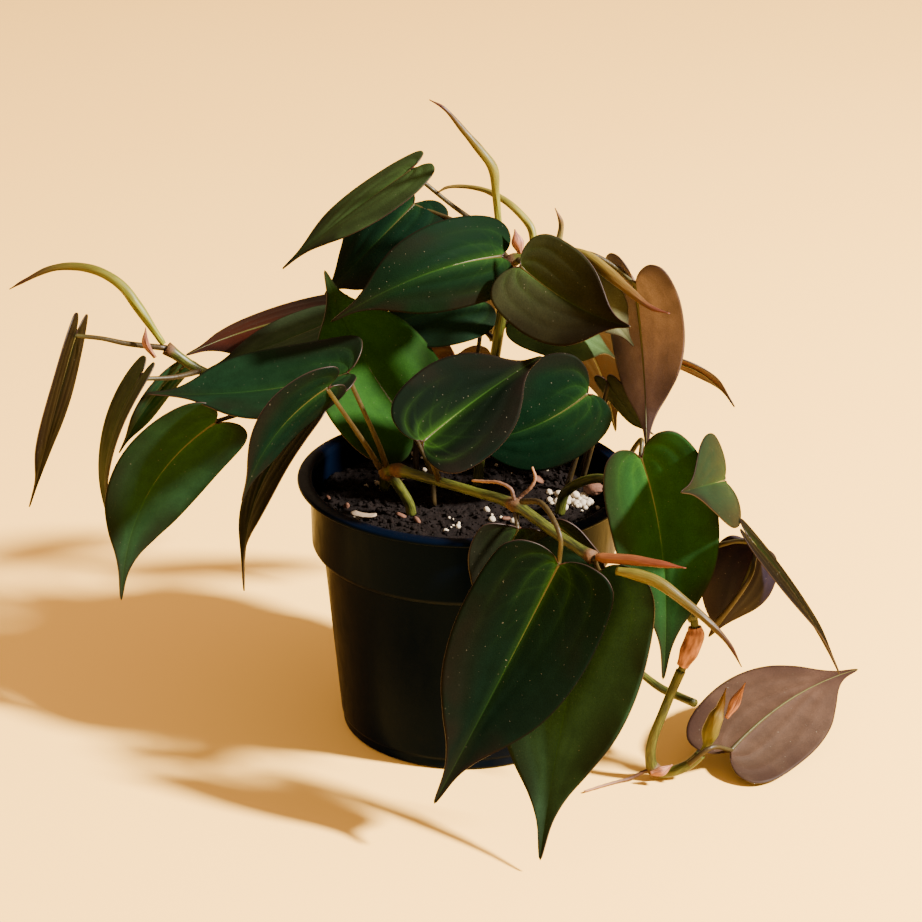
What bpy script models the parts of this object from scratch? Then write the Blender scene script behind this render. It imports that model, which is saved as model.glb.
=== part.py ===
"""A velvet-leaf philodendron, potted in a round nursery pot.

The pot is a thin moulded shell full of soil. Four vines root in the soil: one leans over the front
rim, one stands up in the middle, one reaches out to the left, and one trails over the right rim down
to the surface that the pot stands on. Each leaf is one solid: a blade and the petiole that carries it.

The plant is posed in millimetres from the middle of the pot's base, +Z up, -Y to the front, on a pot
of POSED_RIM_RADIUS full to POSED_SOIL_LEVEL. settle() moves that pose with the pot when its size changes.
"""
import math
from collections import namedtuple

import bmesh
import bpy
import numpy as np

MM = 0.001                   # the model is in metres, the sizes below are in millimetres

# --- the pot
POT_HEIGHT = 86.0
POT_RIM_RADIUS = 54.0        # over the lip
POT_BASE_RADIUS = 39.0
POT_WALL = 1.1
POT_FLOOR = 1.6
LIP_WIDTH = 4.2              # how far the lip stands out from the collar
LIP_THICKNESS = 1.6
COLLAR_HEIGHT = 22.0         # the straight band under the lip
COLLAR_STEP = 4.2            # how far the collar stands out from the tapered body
FOOT_HEIGHT = 3.5
FOOT_STEP = 0.6
DRAIN_HOLES = 6
DRAIN_HOLE_RADIUS = 3.5
DRAIN_CIRCLE_RADIUS = 27.0
POT_SEGMENTS = 48

# --- the soil
SOIL_BELOW_RIM = 8.0
SOIL_DOME = 1.2
SOIL_SEGMENTS = 32

# --- the plant
STEM_RADIUS = 1.5
STEM_NODE_SWELL = 1.45       # a node's radius over the stem's
PETIOLE_RADIUS = 0.8
BEND_RADIUS = 1.3            # where a petiole turns into its blade
JOIN_REACH = 3.0             # a petiole that starts this close to a stem's middle grows from that stem
LEAF_THICKNESS = 0.6
GAP = 0.3                    # between pieces that touch
POSED_RIM_RADIUS = 54.0
POSED_SOIL_LEVEL = 78.0

# A half blade's outline: distance from the midrib over the half width, and place along the midrib,
# from the notch where the petiole joins, round the back lobe, to the end of the drip tip.
OUTLINE = ((0, 0), (0.15, -0.075), (0.41, -0.12), (0.71, -0.09), (0.93, 0.05), (1.0, 0.25),
           (0.95, 0.42), (0.79, 0.57), (0.53, 0.69), (0.26, 0.79), (0.10, 0.88), (0, 1))
BLADE_ROWS = (0.05, 0.14, 0.25, 0.38, 0.5, 0.62, 0.74, 0.85, 0.93, 0.985)
BLADE_ACROSS = (-1.0, -0.5, 0.0, 0.5, 1.0)
ROW_LAG = 2.2                # how far a row's middle lags behind its ends
ROW_SWEEP = 1.35             # how a row bends forward from the midrib

GREEN = (0.020, 0.055, 0.022)
BRIGHT_GREEN = (0.05, 0.14, 0.03)
MAROON = (0.10, 0.035, 0.025)
STEM_GREEN = (0.20, 0.22, 0.06)
SALMON = (0.55, 0.22, 0.12)
BLACK_PLASTIC = (0.012, 0.012, 0.016)
SOIL_BROWN = (0.03, 0.02, 0.014)
BARK_BROWN = (0.25, 0.12, 0.05)

# base and tip are the ends of the midrib, face is where the top side looks, width is half the
# blade's, fold turns each half up, sag rounds it down again, arch lifts the midrib's middle,
# sweep pushes it sideways, lobe scales the back lobes, and petiole runs from the stem to the base.
Leaf = namedtuple("Leaf", "base tip face width fold sag arch sweep lobe petiole colour")

LEAVES = {
    # the vine that leans over the front rim
    "leaf_front_left": Leaf((28, -79, 91), (-8, -94, 18), (0, -1, 0.2), 22, 18, 2, -5, -1, 0.45,
                            ((17, -60, 103), (23, -69, 106), (28, -80, 101)), GREEN),
    "leaf_front_right": Leaf((40, -73, 86), (24, -104, 5), (-0.5, -0.75, 0.4), 26, 15, 3, -6, 5, 0.6,
                             ((39, -77, 91),), BRIGHT_GREEN),
    "leaf_front_behind": Leaf((16, -63, 95.2), (2, -69, 69), (0.4, -0.9, 0), 14, 12, 1, -2, -2, 0.4,
                              ((14.5, -57, 99.5),), GREEN),
    "leaf_front_rim": Leaf((28, -60, 95), (46, -68, 76), (-0.7, -0.6, -0.4), 9, 14, 2, -3, 3, 1.0,
                           ((27, -66, 97), (27, -63, 97)), BRIGHT_GREEN),
    # the leaves on the front vine's lowest node
    "leaf_left_broad": Leaf((-37, -30, 131.8), (-99, -24, 122), (-0.2, -0.3, 0.9), 19, 24, 5, -4, 1, 0.7,
                            ((-26, -21, 98), (-27, -25, 106), (-31, -28, 117)), GREEN),
    "leaf_left_near": Leaf((-42, -51, 135), (-67, -61, 102), (0.6, -0.7, -0.4), 12, 8, 3, -2, 4, 1.0,
                           ((-27, -23, 98), (-30, -33, 108), (-36, -43, 122)), GREEN),
    "leaf_centre": Leaf((-13, -40, 114), (23, -18, 134), (0.1, -0.8, 0.6), 18, 20, 2, 0, -1, 0.7,
                        ((-9, -36, 100), (-10, -38, 105)), GREEN),
    "leaf_centre_upright": Leaf((-17, -8, 105), (-45, 2, 154), (0.4, -0.8, 0.3), 21, 8, 1, -5, -1, 0.9,
                                ((-10, -8, 79), (-11, -8, 90)), BRIGHT_GREEN),
    "leaf_centre_right": Leaf((38, -6, 117), (-4, -16, 104), (0.3, -1, 0), 19, 2, 4, 3, -3, 0.7,
                              ((33, 8, 79), (37, 2, 100)), GREEN),
    # the vine that stands up in the middle
    "leaf_upper_front": Leaf((10, -5, 162), (-42, -26, 147), (0.3, -0.9, 0.2), 14, 0, 3, 8, 5, 0.7,
                             ((12.5, 1, 157), (10, -3, 160.5)), GREEN),
    "leaf_upper_right": Leaf((16, -12, 161), (49, -34, 150), (-0.3, -0.9, 0.3), 16, 14, 1, -4, 3, 0.6,
                             ((15.5, 1, 159), (16.5, -5.5, 160)), MAROON),
    "leaf_upper_right_back": Leaf((34, 4, 150), (52, -8, 134), (0.2, -0.7, 0.6), 9, 12, 1, 2, 0, 0.8,
                                  ((26, 0, 161.7), (30, 4, 157)), BRIGHT_GREEN),
    "leaf_right_turned": Leaf((52, -2, 153), (57, -14, 101), (0.7, 0.7, -0.1), 16, 9, 0, 6, -4, 1.1,
                              ((28, 0, 163), (38, 1, 161), (46, 0, 157)), MAROON),
    "leaf_top_left": Leaf((-19, 22, 181), (-59, 12, 151), (-0.6, -0.2, 0.8), 15, 7, 3, 1, 0, 1.1,
                          ((12, 3, 160), (4, 16, 164), (-7, 21, 171)), GREEN),
    "leaf_top_left_back": Leaf((-18, 40, 164), (-47, 38, 133), (-0.5, -0.6, 0.6), 16, 6, 2, 6, -5, 0.8,
                               ((13, 6, 156), (2, 26, 160)), GREEN),
    # the vine that reaches out to the left
    "leaf_left_outer": Leaf((-123, -4, 133), (-139, -8, 76), (0.9, -0.2, -0.2), 14, 8, 2, 1, 4, 1.0,
                            ((-96, 0, 129), (-107, -2, 130), (-115, -3, 132)), MAROON),
    "leaf_left_edge_on": Leaf((-102, -16, 124), (-111, -20, 72), (-0.9, -0.3, 0.2), 10, 15, 2, 7, -2, 0.9,
                              ((-84, -1, 120), (-92, -10, 122)), GREEN),
    "leaf_left_small": Leaf((-92, 6, 118), (-111, 2, 91), (0.7, -0.5, -0.4), 9, 14, 2, -1, 1, 1.0,
                            ((-84, 2, 121), (-88, 6, 121)), GREEN),
    "leaf_left_hanging": Leaf((-78, -26, 113), (-108, -30, 54), (0.4, -0.9, 0), 16, 12, 3, -6, 6, 0.6,
                              ((-62, -2, 114), (-68, -14, 113)), BRIGHT_GREEN),
    "leaf_left_turned": Leaf((-46, 22, 132), (-90, 12, 121), (0.2, 0.3, -0.9), 15, 16, 0, 3, -7, 0.9,
                             ((-38, 3, 107), (-35, 13, 119), (-39, 20.5, 130)), MAROON),
    "leaf_left_behind": Leaf((-45, 8, 134), (-83, 2, 120), (-0.3, -0.2, 0.9), 12, 14, 2, 0, 0, 1.0,
                             ((-50, -1, 112), (-46, 2, 124)), GREEN),
    "leaf_left_dark": Leaf((-48.6, -20, 113.8), (-69.6, -28, 57), (-0.9, -0.2, 0.4), 15, 9, 2, 6, 4, 1.0,
                           ((-44, -2, 109), (-45, -8, 114)), GREEN),
    # the vine that trails over the right rim
    "leaf_right_hanging": Leaf((53, -51, 114), (62, -58, 43), (0.3, -0.9, 0.1), 19, 25, 1, -6, -6, 0.9,
                               ((46, -27, 97), (50, -36, 108), (53, -46, 118)), GREEN),
    "leaf_right_small": Leaf((45, 10, 115), (60, 5, 99), (-0.6, -0.6, -0.3), 7, 12, 2, 0, 2, 1.0,
                             ((38, 14, 79), (42, 8, 100)), GREEN),
    "leaf_right_behind": Leaf((60, 12, 123), (86, 8, 108), (0.4, 0.5, 0.8), 9, 10, 2, 4, 0, 1.0,
                              ((38, 22, 79), (46, 20, 106)), MAROON),
    "leaf_right_sideways": Leaf((80, -34, 100), (64, -72, 112), (0.9, -0.2, 0.4), 16, 20, 4, 2, 0, 1.0,
                                ((62, -34, 79), (68, -35, 94), (74, -33, 99)), GREEN),
    "leaf_right_narrow": Leaf((88, -48, 86), (117, -54, 44), (0.8, 0, 0.6), 11, 16, 3, 2, 0, 1.0,
                              ((65, -37, 66), (74, -42, 79), (82, -47, 85)), GREEN),
    "leaf_right_underside": Leaf((90, -38, 77), (77, -39, 49), (-0.3, 0.9, 0.1), 13, 14, 0, -4, -1, 0.8,
                                 ((77.5, -45.5, 55.5), (82, -48, 63), (88, -47, 73)), MAROON),
    "leaf_on_the_surface": Leaf((86, -37, 7.4), (132, 14, 12), (-0.2, 0.35, -0.9), 19, 5, 1, -2, 3, 0.8,
                                ((72, -47, 8), (79, -47, 14)), MAROON),
    # the dense middle and the far side
    "leaf_middle_left": Leaf((4, 16, 140), (-32, 24, 124), (-0.1, -0.7, 0.7), 14, 10, 2, 4, 0, 0.8,
                             ((9, 8, 127), (5, 13, 132)), GREEN),
    "leaf_middle_right": Leaf((16, 12, 136), (48, 24, 118), (0.2, -0.6, 0.8), 13, 10, 2, 4, 0, 0.8,
                              ((11, 7, 132), (13, 10, 136)), GREEN),
    "leaf_far_left": Leaf((-26, 44, 124), (-46, 82, 74), (-0.4, 0.8, 0.4), 17, 12, 3, 5, 0, 0.9,
                          ((-16, 16, 79), (-18, 26, 108)), BRIGHT_GREEN),
    "leaf_far_middle": Leaf((6, 46, 134), (8, 92, 98), (0.1, 0.6, 0.8), 18, 12, 3, 5, 2, 0.9,
                            ((2, 20, 79), (3, 26, 112)), GREEN),
    "leaf_far_right": Leaf((34, 44, 122), (52, 80, 70), (0.4, 0.8, 0.4), 16, 12, 3, 5, 0, 0.9,
                           ((20, 22, 79), (24, 28, 106)), GREEN),
    "leaf_far_low": Leaf((-4, 60, 104), (-8, 78, 46), (0, 1, 0.3), 15, 14, 2, 4, -2, 0.9,
                         ((-6, 30, 79), (-5, 44, 102)), BRIGHT_GREEN),
}

# A stem's points with its radius over STEM_RADIUS at each; a node is a swelling.
Stem = namedtuple("Stem", "points radii colour")
NODE = STEM_NODE_SWELL

STEMS = {
    "vine_front": Stem(((-17, -14, 78.4), (-18, -15, 83), (-22, -18, 91), (-25, -20, 95), (-21, -24, 97.5),
                        (-8, -34, 98), (3, -44, 99), (15, -56, 100), (28, -69, 96), (38, -78, 93)),
                       (1.1, 1.1, 1.1, NODE, NODE, 1, 1, NODE, 1.05, NODE), STEM_GREEN),
    "vine_middle": Stem(((4, 8, 78.4), (5, 9, 92), (9, 8, 125), (12, 3, 150), (13, 1, 158), (20, 0, 160.5),
                         (28, 0, 162)),
                        (1.2, 1.1, 1.1, 1.1, NODE, 1.1, NODE), STEM_GREEN),
    "vine_left": Stem(((-26, 6, 78.4), (-27, 5, 90), (-38, 1, 105), (-53, -2, 112), (-69, -2, 116),
                       (-84, 0, 120.5), (-95, 0, 128)),
                      (1.2, 1.1, 1, 1, 1, 1, NODE), STEM_GREEN),
    "vine_right_over_rim": Stem(((30, -12, 78.4), (32, -14, 87), (40, -20, 94), (48, -27, 95), (56, -32, 88),
                                 (61, -34, 77), (66, -37, 65), (72, -40, 55)),
                                (1.2, 1.1, 1, 1, 1, 1, 1, 1.2), STEM_GREEN),
    "vine_right_trailing": Stem(((68.6, -42.4, 38.5), (66, -43.5, 32), (63, -45, 24), (60.5, -45, 16),
                                 (60, -44, 8.5), (61.5, -43, 3.6), (65, -43, 2.7), (69, -43, 3.8),
                                 (73, -43.5, 6.5), (76, -44, 10)),
                                (1.05, 1, 1, 1.05, 1.2, NODE, 1.3, 1.2, 1.1, 1.2), STEM_GREEN),
    "side_stem_right": Stem(((74, -34, 23), (70, -28, 22), (64, -23, 22.5), (58, -18, 25), (52, -14, 29)),
                            (0.9, 0.9, 0.9, 0.8, 0.5), STEM_GREEN),
    # new leaves, still rolled
    "rolled_leaf_left": Stem(((-97.5, 0.5, 131.5), (-104, 2, 141), (-109, 4, 147), (-116, 6, 151),
                              (-124, 8, 152), (-132, 8, 151), (-140, 8, 147), (-145, 8, 144)),
                             (0.75, 1.2, 1.15, 1, 0.9, 0.7, 0.4, 0.12), STEM_GREEN),
    "rolled_leaf_top": Stem(((10, 5, 162), (9, 7, 169), (8, 8, 178), (7, 8, 186), (3, 8, 192), (-2, 8, 198),
                             (-8, 8, 205), (-13, 8, 208)),
                            (0.7, 0.75, 0.85, 1.15, 0.95, 0.7, 0.4, 0.12), STEM_GREEN),
    "shoot_top_curled": Stem(((20, 3.5, 163), (19, 6, 168), (14, 9, 173), (9, 13, 175.5), (4, 17, 176.5),
                              (-2, 20, 176.5), (-7, 20.5, 176), (-10, 20, 174.5)),
                             (0.8, 0.9, 0.85, 0.75, 0.55, 0.45, 0.35, 0.2), STEM_GREEN),
    "shoot_top_short": Stem(((28, 3, 165), (28.5, 4, 170), (26.5, 4, 175)), (0.7, 0.6, 0.12), STEM_GREEN),
    "rolled_leaf_right": Stem(((31, -3, 163.5), (37, -10, 163.5), (43, -17, 161), (49, -24, 158),
                               (55, -30, 155), (61, -33, 154)),
                              (0.9, 1.3, 1.35, 1, 0.6, 0.12), SALMON),
    "rolled_leaf_front": Stem(((41.5, -79.5, 93.6), (49, -82.5, 94.5), (57, -86, 95), (65, -89, 95)),
                              (1.05, 1.1, 0.8, 0.12), SALMON),
    "rolled_leaf_front_low": Stem(((45, -83, 91), (52, -86, 91), (58, -88.5, 89.5), (65, -91, 85),
                                   (72, -94, 80), (78, -96, 74), (82, -97, 67)),
                                  (0.9, 1.25, 1.2, 1, 0.8, 0.5, 0.12), SALMON),
    "bud_right": Stem(((77.6, -44, 13), (78.5, -44, 18), (80, -44, 23), (81.5, -43.5, 27), (83, -43, 33)),
                      (0.9, 1.9, 1.7, 0.9, 0.12), STEM_GREEN),
    # the papery sheaths that new leaves leave behind
    "sheath_left": Stem(((-98, -4, 126.5), (-100.5, -3.8, 131), (-101, -3.2, 136)), (0.5, 1.1, 0.2), SALMON),
    "sheath_top": Stem(((16, -2.5, 162.5), (15, -3, 166), (14, -2.5, 170)), (0.6, 1.3, 0.15), SALMON),
    "sheath_right": Stem(((72.4, -40.6, 53), (72.6, -41, 50), (71, -41.6, 45), (69, -42.2, 40)),
                         (1.3, 1.9, 1.9, 1.1), SALMON),
    "sheath_bud": Stem(((83.5, -44, 23), (86, -43.5, 28), (89, -43, 35)), (0.4, 1.1, 0.12), SALMON),
    "sheath_low": Stem(((60, -47, 4.5), (63.5, -47, 5.5), (67, -46.8, 7.5)), (0.6, 1.2, 0.15), SALMON),
    # thin roots that grow from the nodes in the air
    "air_root_front_left": Stem(((14.5, -56.5, 103), (13.5, -56, 105.5), (10, -54, 106.5), (6, -51, 105.5),
                                 (2, -48, 104.5)), (0.4, 0.38, 0.35, 0.32, 0.25), SALMON),
    "air_root_front_right": Stem(((17, -55, 102.8), (19.5, -55.5, 105.5), (21, -55, 108.5), (20, -54.5, 112)),
                                 (0.4, 0.36, 0.32, 0.22), SALMON),
    "air_root_low": Stem(((57.5, -44, 3), (54, -44.5, 1.2), (50, -46, 0.8), (45, -49, 0.8), (39, -53, 0.8)),
                         (0.4, 0.38, 0.34, 0.3, 0.22), SALMON),
}
TUBE_SIDES = 6
TUBE_STEPS = 2               # rings from one point of a stem to the next


def settle(point):
    """A posed point, moved with the pot: scaled where it is beside or inside it, carried past it."""
    x, y, z = point
    reach = math.hypot(x, y)
    grown = POT_RIM_RADIUS - POSED_RIM_RADIUS
    if reach < POSED_RIM_RADIUS:
        outward = POT_RIM_RADIUS / POSED_RIM_RADIUS
    else:
        outward = (reach + grown) / reach
    soil_level = POT_HEIGHT - SOIL_BELOW_RIM
    if z < POSED_SOIL_LEVEL:
        z *= soil_level / POSED_SOIL_LEVEL
    else:
        z += soil_level - POSED_SOIL_LEVEL
    return np.array((x * outward, y * outward, z))


def unit(vector):
    return vector / np.linalg.norm(vector)


def smooth_path(points, steps):
    """Points on a Catmull-Rom curve through the given ones."""
    p = [np.asarray(q, float) for q in points]
    p = [2 * p[0] - p[1]] + p + [2 * p[-1] - p[-2]]
    path = []
    for a, b, c, d in zip(p, p[1:], p[2:], p[3:]):
        for k in range(steps):
            f = k / steps
            path.append(0.5 * (2 * b + (c - a) * f + (2 * a - 5 * b + 4 * c - d) * f ** 2
                               + (3 * b - a - 3 * c + d) * f ** 3))
    path.append(p[-2])
    return path


def loft(name, rings, colour, out=None):
    """One closed solid through rings of points, with its first and last ring capped.

    out says how far out each of a ring's points is: every four-sided face is then split from the inner
    point to the outer one, so that the two sides of a thin blade bend along the same lines.
    """
    bm = bmesh.new()
    loops = [[bm.verts.new(q * MM) for q in ring] for ring in rings]
    for low, high in zip(loops, loops[1:]):
        for k in range(len(low)):
            n = (k + 1) % len(low)
            if out is None:
                bm.faces.new((low[k], low[n], high[n], high[k]))
            elif out[k] < out[n]:
                bm.faces.new((low[k], low[n], high[n]))
                bm.faces.new((low[k], high[n], high[k]))
            else:
                bm.faces.new((low[k], low[n], high[k]))
                bm.faces.new((low[n], high[n], high[k]))
    bm.faces.new(loops[0][::-1])
    bm.faces.new(loops[-1])
    bmesh.ops.recalc_face_normals(bm, faces=bm.faces)
    return finish(name, bm, colour, roughness=0.5)


def finish(name, bm, colour, roughness):
    mesh = bpy.data.meshes.new(name)
    bm.to_mesh(mesh)
    bm.free()
    mesh.shade_smooth()
    mesh.set_sharp_from_angle(angle=math.radians(40))
    piece = bpy.data.objects.new(name, mesh)
    bpy.context.scene.collection.objects.link(piece)
    material = bpy.data.materials.new(name)
    material.use_nodes = True
    shader = material.node_tree.nodes["Principled BSDF"]
    shader.inputs["Base Color"].default_value = (*colour, 1)
    shader.inputs["Roughness"].default_value = roughness
    mesh.materials.append(material)
    return piece


def turned(name, profile, segments, colour, roughness):
    """A solid turned round Z from a profile of (radius, height) points that starts and ends on the axis."""
    bm = bmesh.new()
    verts = [bm.verts.new((r * MM, 0, z * MM)) for r, z in profile]
    edges = [bm.edges.new(pair) for pair in zip(verts, verts[1:])]
    bmesh.ops.spin(bm, geom=verts + edges, cent=(0, 0, 0), axis=(0, 0, 1), angle=math.tau,
                   steps=segments, use_merge=True)
    bmesh.ops.remove_doubles(bm, verts=bm.verts, dist=1e-6)
    bmesh.ops.recalc_face_normals(bm, faces=bm.faces)
    return finish(name, bm, colour, roughness)


def collar_radius():
    return POT_RIM_RADIUS - LIP_WIDTH


def inner_profile(clearance):
    """The pot's inside from the middle of its floor up to the lip, this far in from the wall."""
    inset = POT_WALL + clearance
    collar = collar_radius()
    step_height = POT_HEIGHT - COLLAR_HEIGHT
    return [(0, POT_FLOOR + clearance),
            (POT_BASE_RADIUS - inset, POT_FLOOR + clearance),
            (collar - COLLAR_STEP - inset, step_height - POT_WALL),
            (collar - inset - 0.6, step_height + POT_WALL),
            (collar - inset, POT_HEIGHT - LIP_THICKNESS)]


def inner_radius(height, clearance):
    """The radius of the pot's inside at a height in the collar."""
    (low_r, low_z), (high_r, high_z) = inner_profile(clearance)[-2:]
    return low_r + (high_r - low_r) * (height - low_z) / (high_z - low_z)


def make_pot():
    collar = collar_radius()
    body = collar - COLLAR_STEP
    step_height = POT_HEIGHT - COLLAR_HEIGHT
    outside = [(0, 0), (POT_BASE_RADIUS - 1, 0), (POT_BASE_RADIUS, 1), (POT_BASE_RADIUS, FOOT_HEIGHT),
               (POT_BASE_RADIUS + FOOT_STEP, FOOT_HEIGHT + 1), (body, step_height - 2.5),
               (collar - 1.5, step_height - 1.5), (collar - 0.6, step_height),
               (collar, POT_HEIGHT - LIP_THICKNESS - 1), (collar + 0.8, POT_HEIGHT - LIP_THICKNESS),
               (POT_RIM_RADIUS - 0.4, POT_HEIGHT - LIP_THICKNESS),
               (POT_RIM_RADIUS, POT_HEIGHT - LIP_THICKNESS / 2), (POT_RIM_RADIUS - 0.5, POT_HEIGHT),
               (collar - POT_WALL + 0.8, POT_HEIGHT)]
    pot = turned("pot", outside + inner_profile(0)[::-1], POT_SEGMENTS, BLACK_PLASTIC, 0.35)
    for k in range(DRAIN_HOLES):
        turn = math.tau * (k + 0.45) / DRAIN_HOLES
        bm = bmesh.new()
        bmesh.ops.create_cone(bm, cap_ends=True, segments=12, radius1=DRAIN_HOLE_RADIUS * MM,
                              radius2=DRAIN_HOLE_RADIUS * MM, depth=4 * POT_FLOOR * MM)
        cutter_mesh = bpy.data.meshes.new(f"drain_cutter_{k}")
        bm.to_mesh(cutter_mesh)
        bm.free()
        cutter = bpy.data.objects.new(f"drain_cutter_{k}", cutter_mesh)
        reach = DRAIN_CIRCLE_RADIUS * MM
        cutter.location = (reach * math.cos(turn), reach * math.sin(turn), 0)
        cutter.hide_render = True
        cutter.display_type = "WIRE"
        bpy.context.scene.collection.objects.link(cutter)
        cut = pot.modifiers.new(f"drain_{k}", "BOOLEAN")
        cut.object = cutter
        cut.operation = "DIFFERENCE"


def make_soil():
    top = POT_HEIGHT - SOIL_BELOW_RIM
    edge = inner_radius(top, GAP)
    profile = inner_profile(GAP)[:-1] + [(edge, top - SOIL_DOME), (edge * 0.7, top - SOIL_DOME / 3), (0, top)]
    turned("soil", profile, SOIL_SEGMENTS, SOIL_BROWN, 0.95)


def make_stem(name, stem):
    path = smooth_path([settle(q) for q in stem.points], TUBE_STEPS)
    at = np.linspace(0, len(stem.radii) - 1, len(path))
    radii = STEM_RADIUS * np.interp(at, range(len(stem.radii)), stem.radii)
    ahead = unit(path[1] - path[0])
    side = unit(np.cross(ahead, (0.3, 1, 0.2)))
    rings = []
    for k, (centre, radius) in enumerate(zip(path, radii)):
        ahead = unit(path[min(k + 1, len(path) - 1)] - path[max(k - 1, 0)])
        side = unit(side - ahead * side.dot(ahead))
        rings.append(ring_at(centre, side, np.cross(ahead, side), radius, TUBE_SIDES))
    loft(name, rings, stem.colour)
    return path


def ring_at(centre, side, up, radius, sides):
    turns = [math.tau * k / sides for k in range(sides)]
    return [centre + radius * (side * math.cos(a) + up * math.sin(a)) for a in turns]


def outline_at(t):
    """The half outline's point at t, from 0 at the notch to 1 at the tip."""
    n = len(OUTLINE) - 1
    k = min(int(t * n), n - 1)
    before, after = OUTLINE[max(k - 1, 0)], OUTLINE[min(k + 2, n)]
    if k == 0:
        before = (-OUTLINE[1][0], OUTLINE[1][1])
    if k == n - 1:
        after = (-OUTLINE[n - 1][0], OUTLINE[n - 1][1])
    a, b, c, d = (np.array(q, float) for q in (before, OUTLINE[k], OUTLINE[k + 1], after))
    f = t * n - k
    return 0.5 * (2 * b + (c - a) * f + (2 * a - 5 * b + 4 * c - d) * f ** 2
                  + (3 * b - a - 3 * c + d) * f ** 3)


def blade_point(leaf, u, v):
    """A point of the blade's top side, u across from -1 to 1 and v from notch to tip, with its normal."""
    base, tip = settle(leaf.base), settle(leaf.tip)
    length = np.linalg.norm(tip - base)
    along = (tip - base) / length
    face = np.array(leaf.face, float)
    normal = unit(face - along * face.dot(along))
    side = np.cross(along, normal)
    across, end = outline_at(v)
    if end < 0:
        end *= leaf.lobe
    middle = v ** ROW_LAG
    y = middle + (end - middle) * abs(u) ** ROW_SWEEP
    x = u * across * leaf.width
    on_rib = min(max(y, 0), 1)
    rise = 4 * on_rib * (1 - on_rib)
    slope = 4 * (1 - 2 * on_rib) / length
    past = (y - on_rib) * length
    rib = base + along * y * length + normal * leaf.arch * (rise + slope * past)
    rib = rib + side * leaf.sweep * (rise + slope * past)
    tangent = unit(along + normal * leaf.arch * slope + side * leaf.sweep * slope)
    across_way = unit(side - tangent * side.dot(tangent))
    up = np.cross(across_way, tangent)
    fold = math.radians(leaf.fold)
    height = abs(x) * math.sin(fold) - leaf.sag * (x / leaf.width) ** 2
    return rib + across_way * x * math.cos(fold) + up * height, up, tangent, across_way


def turn_into(start, end, way):
    """A short round bend that comes from start and ends at end, heading along way."""
    coming = unit(end - start)
    angle = math.acos(min(max(coming.dot(way), -1), 1))
    if angle < math.radians(25):
        return [end]
    inward = unit(way * math.cos(angle) - coming)
    centre = end + inward * BEND_RADIUS
    steps = math.ceil(angle / math.radians(30))
    left = [angle * (1 - k / steps) for k in range(steps + 1)]
    return [centre - BEND_RADIUS * (way * math.sin(a) + inward * math.cos(a)) for a in left]


def make_leaf(name, leaf, stems):
    base, up, tangent, side = blade_point(leaf, 0, 0)
    end = base - up * LEAF_THICKNESS / 2
    route = [settle(q) for q in leaf.petiole]
    start, stem_way = nearest(stems, route[0])
    start_way = (route[1] if len(route) > 1 else base) - start
    route[0] = start + unit(start_way - stem_way * start_way.dot(stem_way)) * (STEM_RADIUS * NODE + 2 * GAP)
    bend = turn_into(route[-1], end, tangent)
    path = smooth_path(route + bend[:1], 2) + bend[1:]
    rings = []
    for k in range(len(path) - 1, -1, -1):
        if k == len(path) - 1:
            ahead = tangent
        else:
            ahead = unit(path[k + 1] - path[max(k - 1, 0)])
        side = unit(side - ahead * side.dot(ahead))
        over = np.cross(side, ahead)
        turns = [math.pi - math.pi * j / 4 for j in range(8)]
        rings.append([path[k] + PETIOLE_RADIUS * (side * math.cos(a) + over * math.sin(a)) for a in turns])
    rings.reverse()
    for v in BLADE_ROWS:
        top = [blade_point(leaf, u, v) for u in BLADE_ACROSS]
        under = [p - n * LEAF_THICKNESS for p, n, _, _ in top[3:0:-1]]
        rings.append([p for p, _, _, _ in top] + under)
    out = [abs(u) for u in BLADE_ACROSS + BLADE_ACROSS[3:0:-1]]
    loft(name, rings, leaf.colour, out)


def nearest(stems, point):
    """The closest place on the stems' centre lines and the stem's direction there.

    Where no stem is close it is the point itself. There, and past a stem's end, no direction is given.
    """
    best, way, reach = point, np.zeros(3), JOIN_REACH
    for path in stems:
        for a, b in zip(path, path[1:]):
            run = b - a
            f = (point - a).dot(run) / run.dot(run)
            place = path[-1] if b is path[-1] and f >= 1 else a + run * min(max(f, 0), 1)
            if np.linalg.norm(place - point) < reach:
                best, reach = place, np.linalg.norm(place - point)
                way = np.zeros(3) if place is path[-1] else unit(run)
    return best, way


def make_chip(name, centre, size, turn, colour):
    """A chip of bark or stone lying on the soil: a rough block with its corners cut."""
    bm = bmesh.new()
    bmesh.ops.create_icosphere(bm, subdivisions=1, radius=1)
    for k, vert in enumerate(bm.verts):
        uneven = 1 + 0.18 * math.sin(2.4 * k)
        vert.co = [c * s * uneven * MM for c, s in zip(vert.co, size)]
    piece = finish(name, bm, colour, 0.9)
    piece.rotation_euler = (0, 0, math.radians(turn))
    piece.location = tuple(settle(centre) * MM)


def main():
    for thing in list(bpy.data.objects):
        bpy.data.objects.remove(thing, do_unlink=True)
    make_pot()
    make_soil()
    stems = [make_stem(name, stem) for name, stem in STEMS.items()]
    for name, leaf in LEAVES.items():
        make_leaf(name, leaf, stems)
    make_chip("bark_chip", (41, 2, 81.5), (3.4, 2.6, 2.2), 20, BARK_BROWN)


main()
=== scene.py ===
"""A potted velvet-leaf philodendron: the looks of every piece, built round its CAD frame."""

import math
import random
from collections import namedtuple

import bmesh
import bpy
from mathutils import Matrix, Vector, noise


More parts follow.
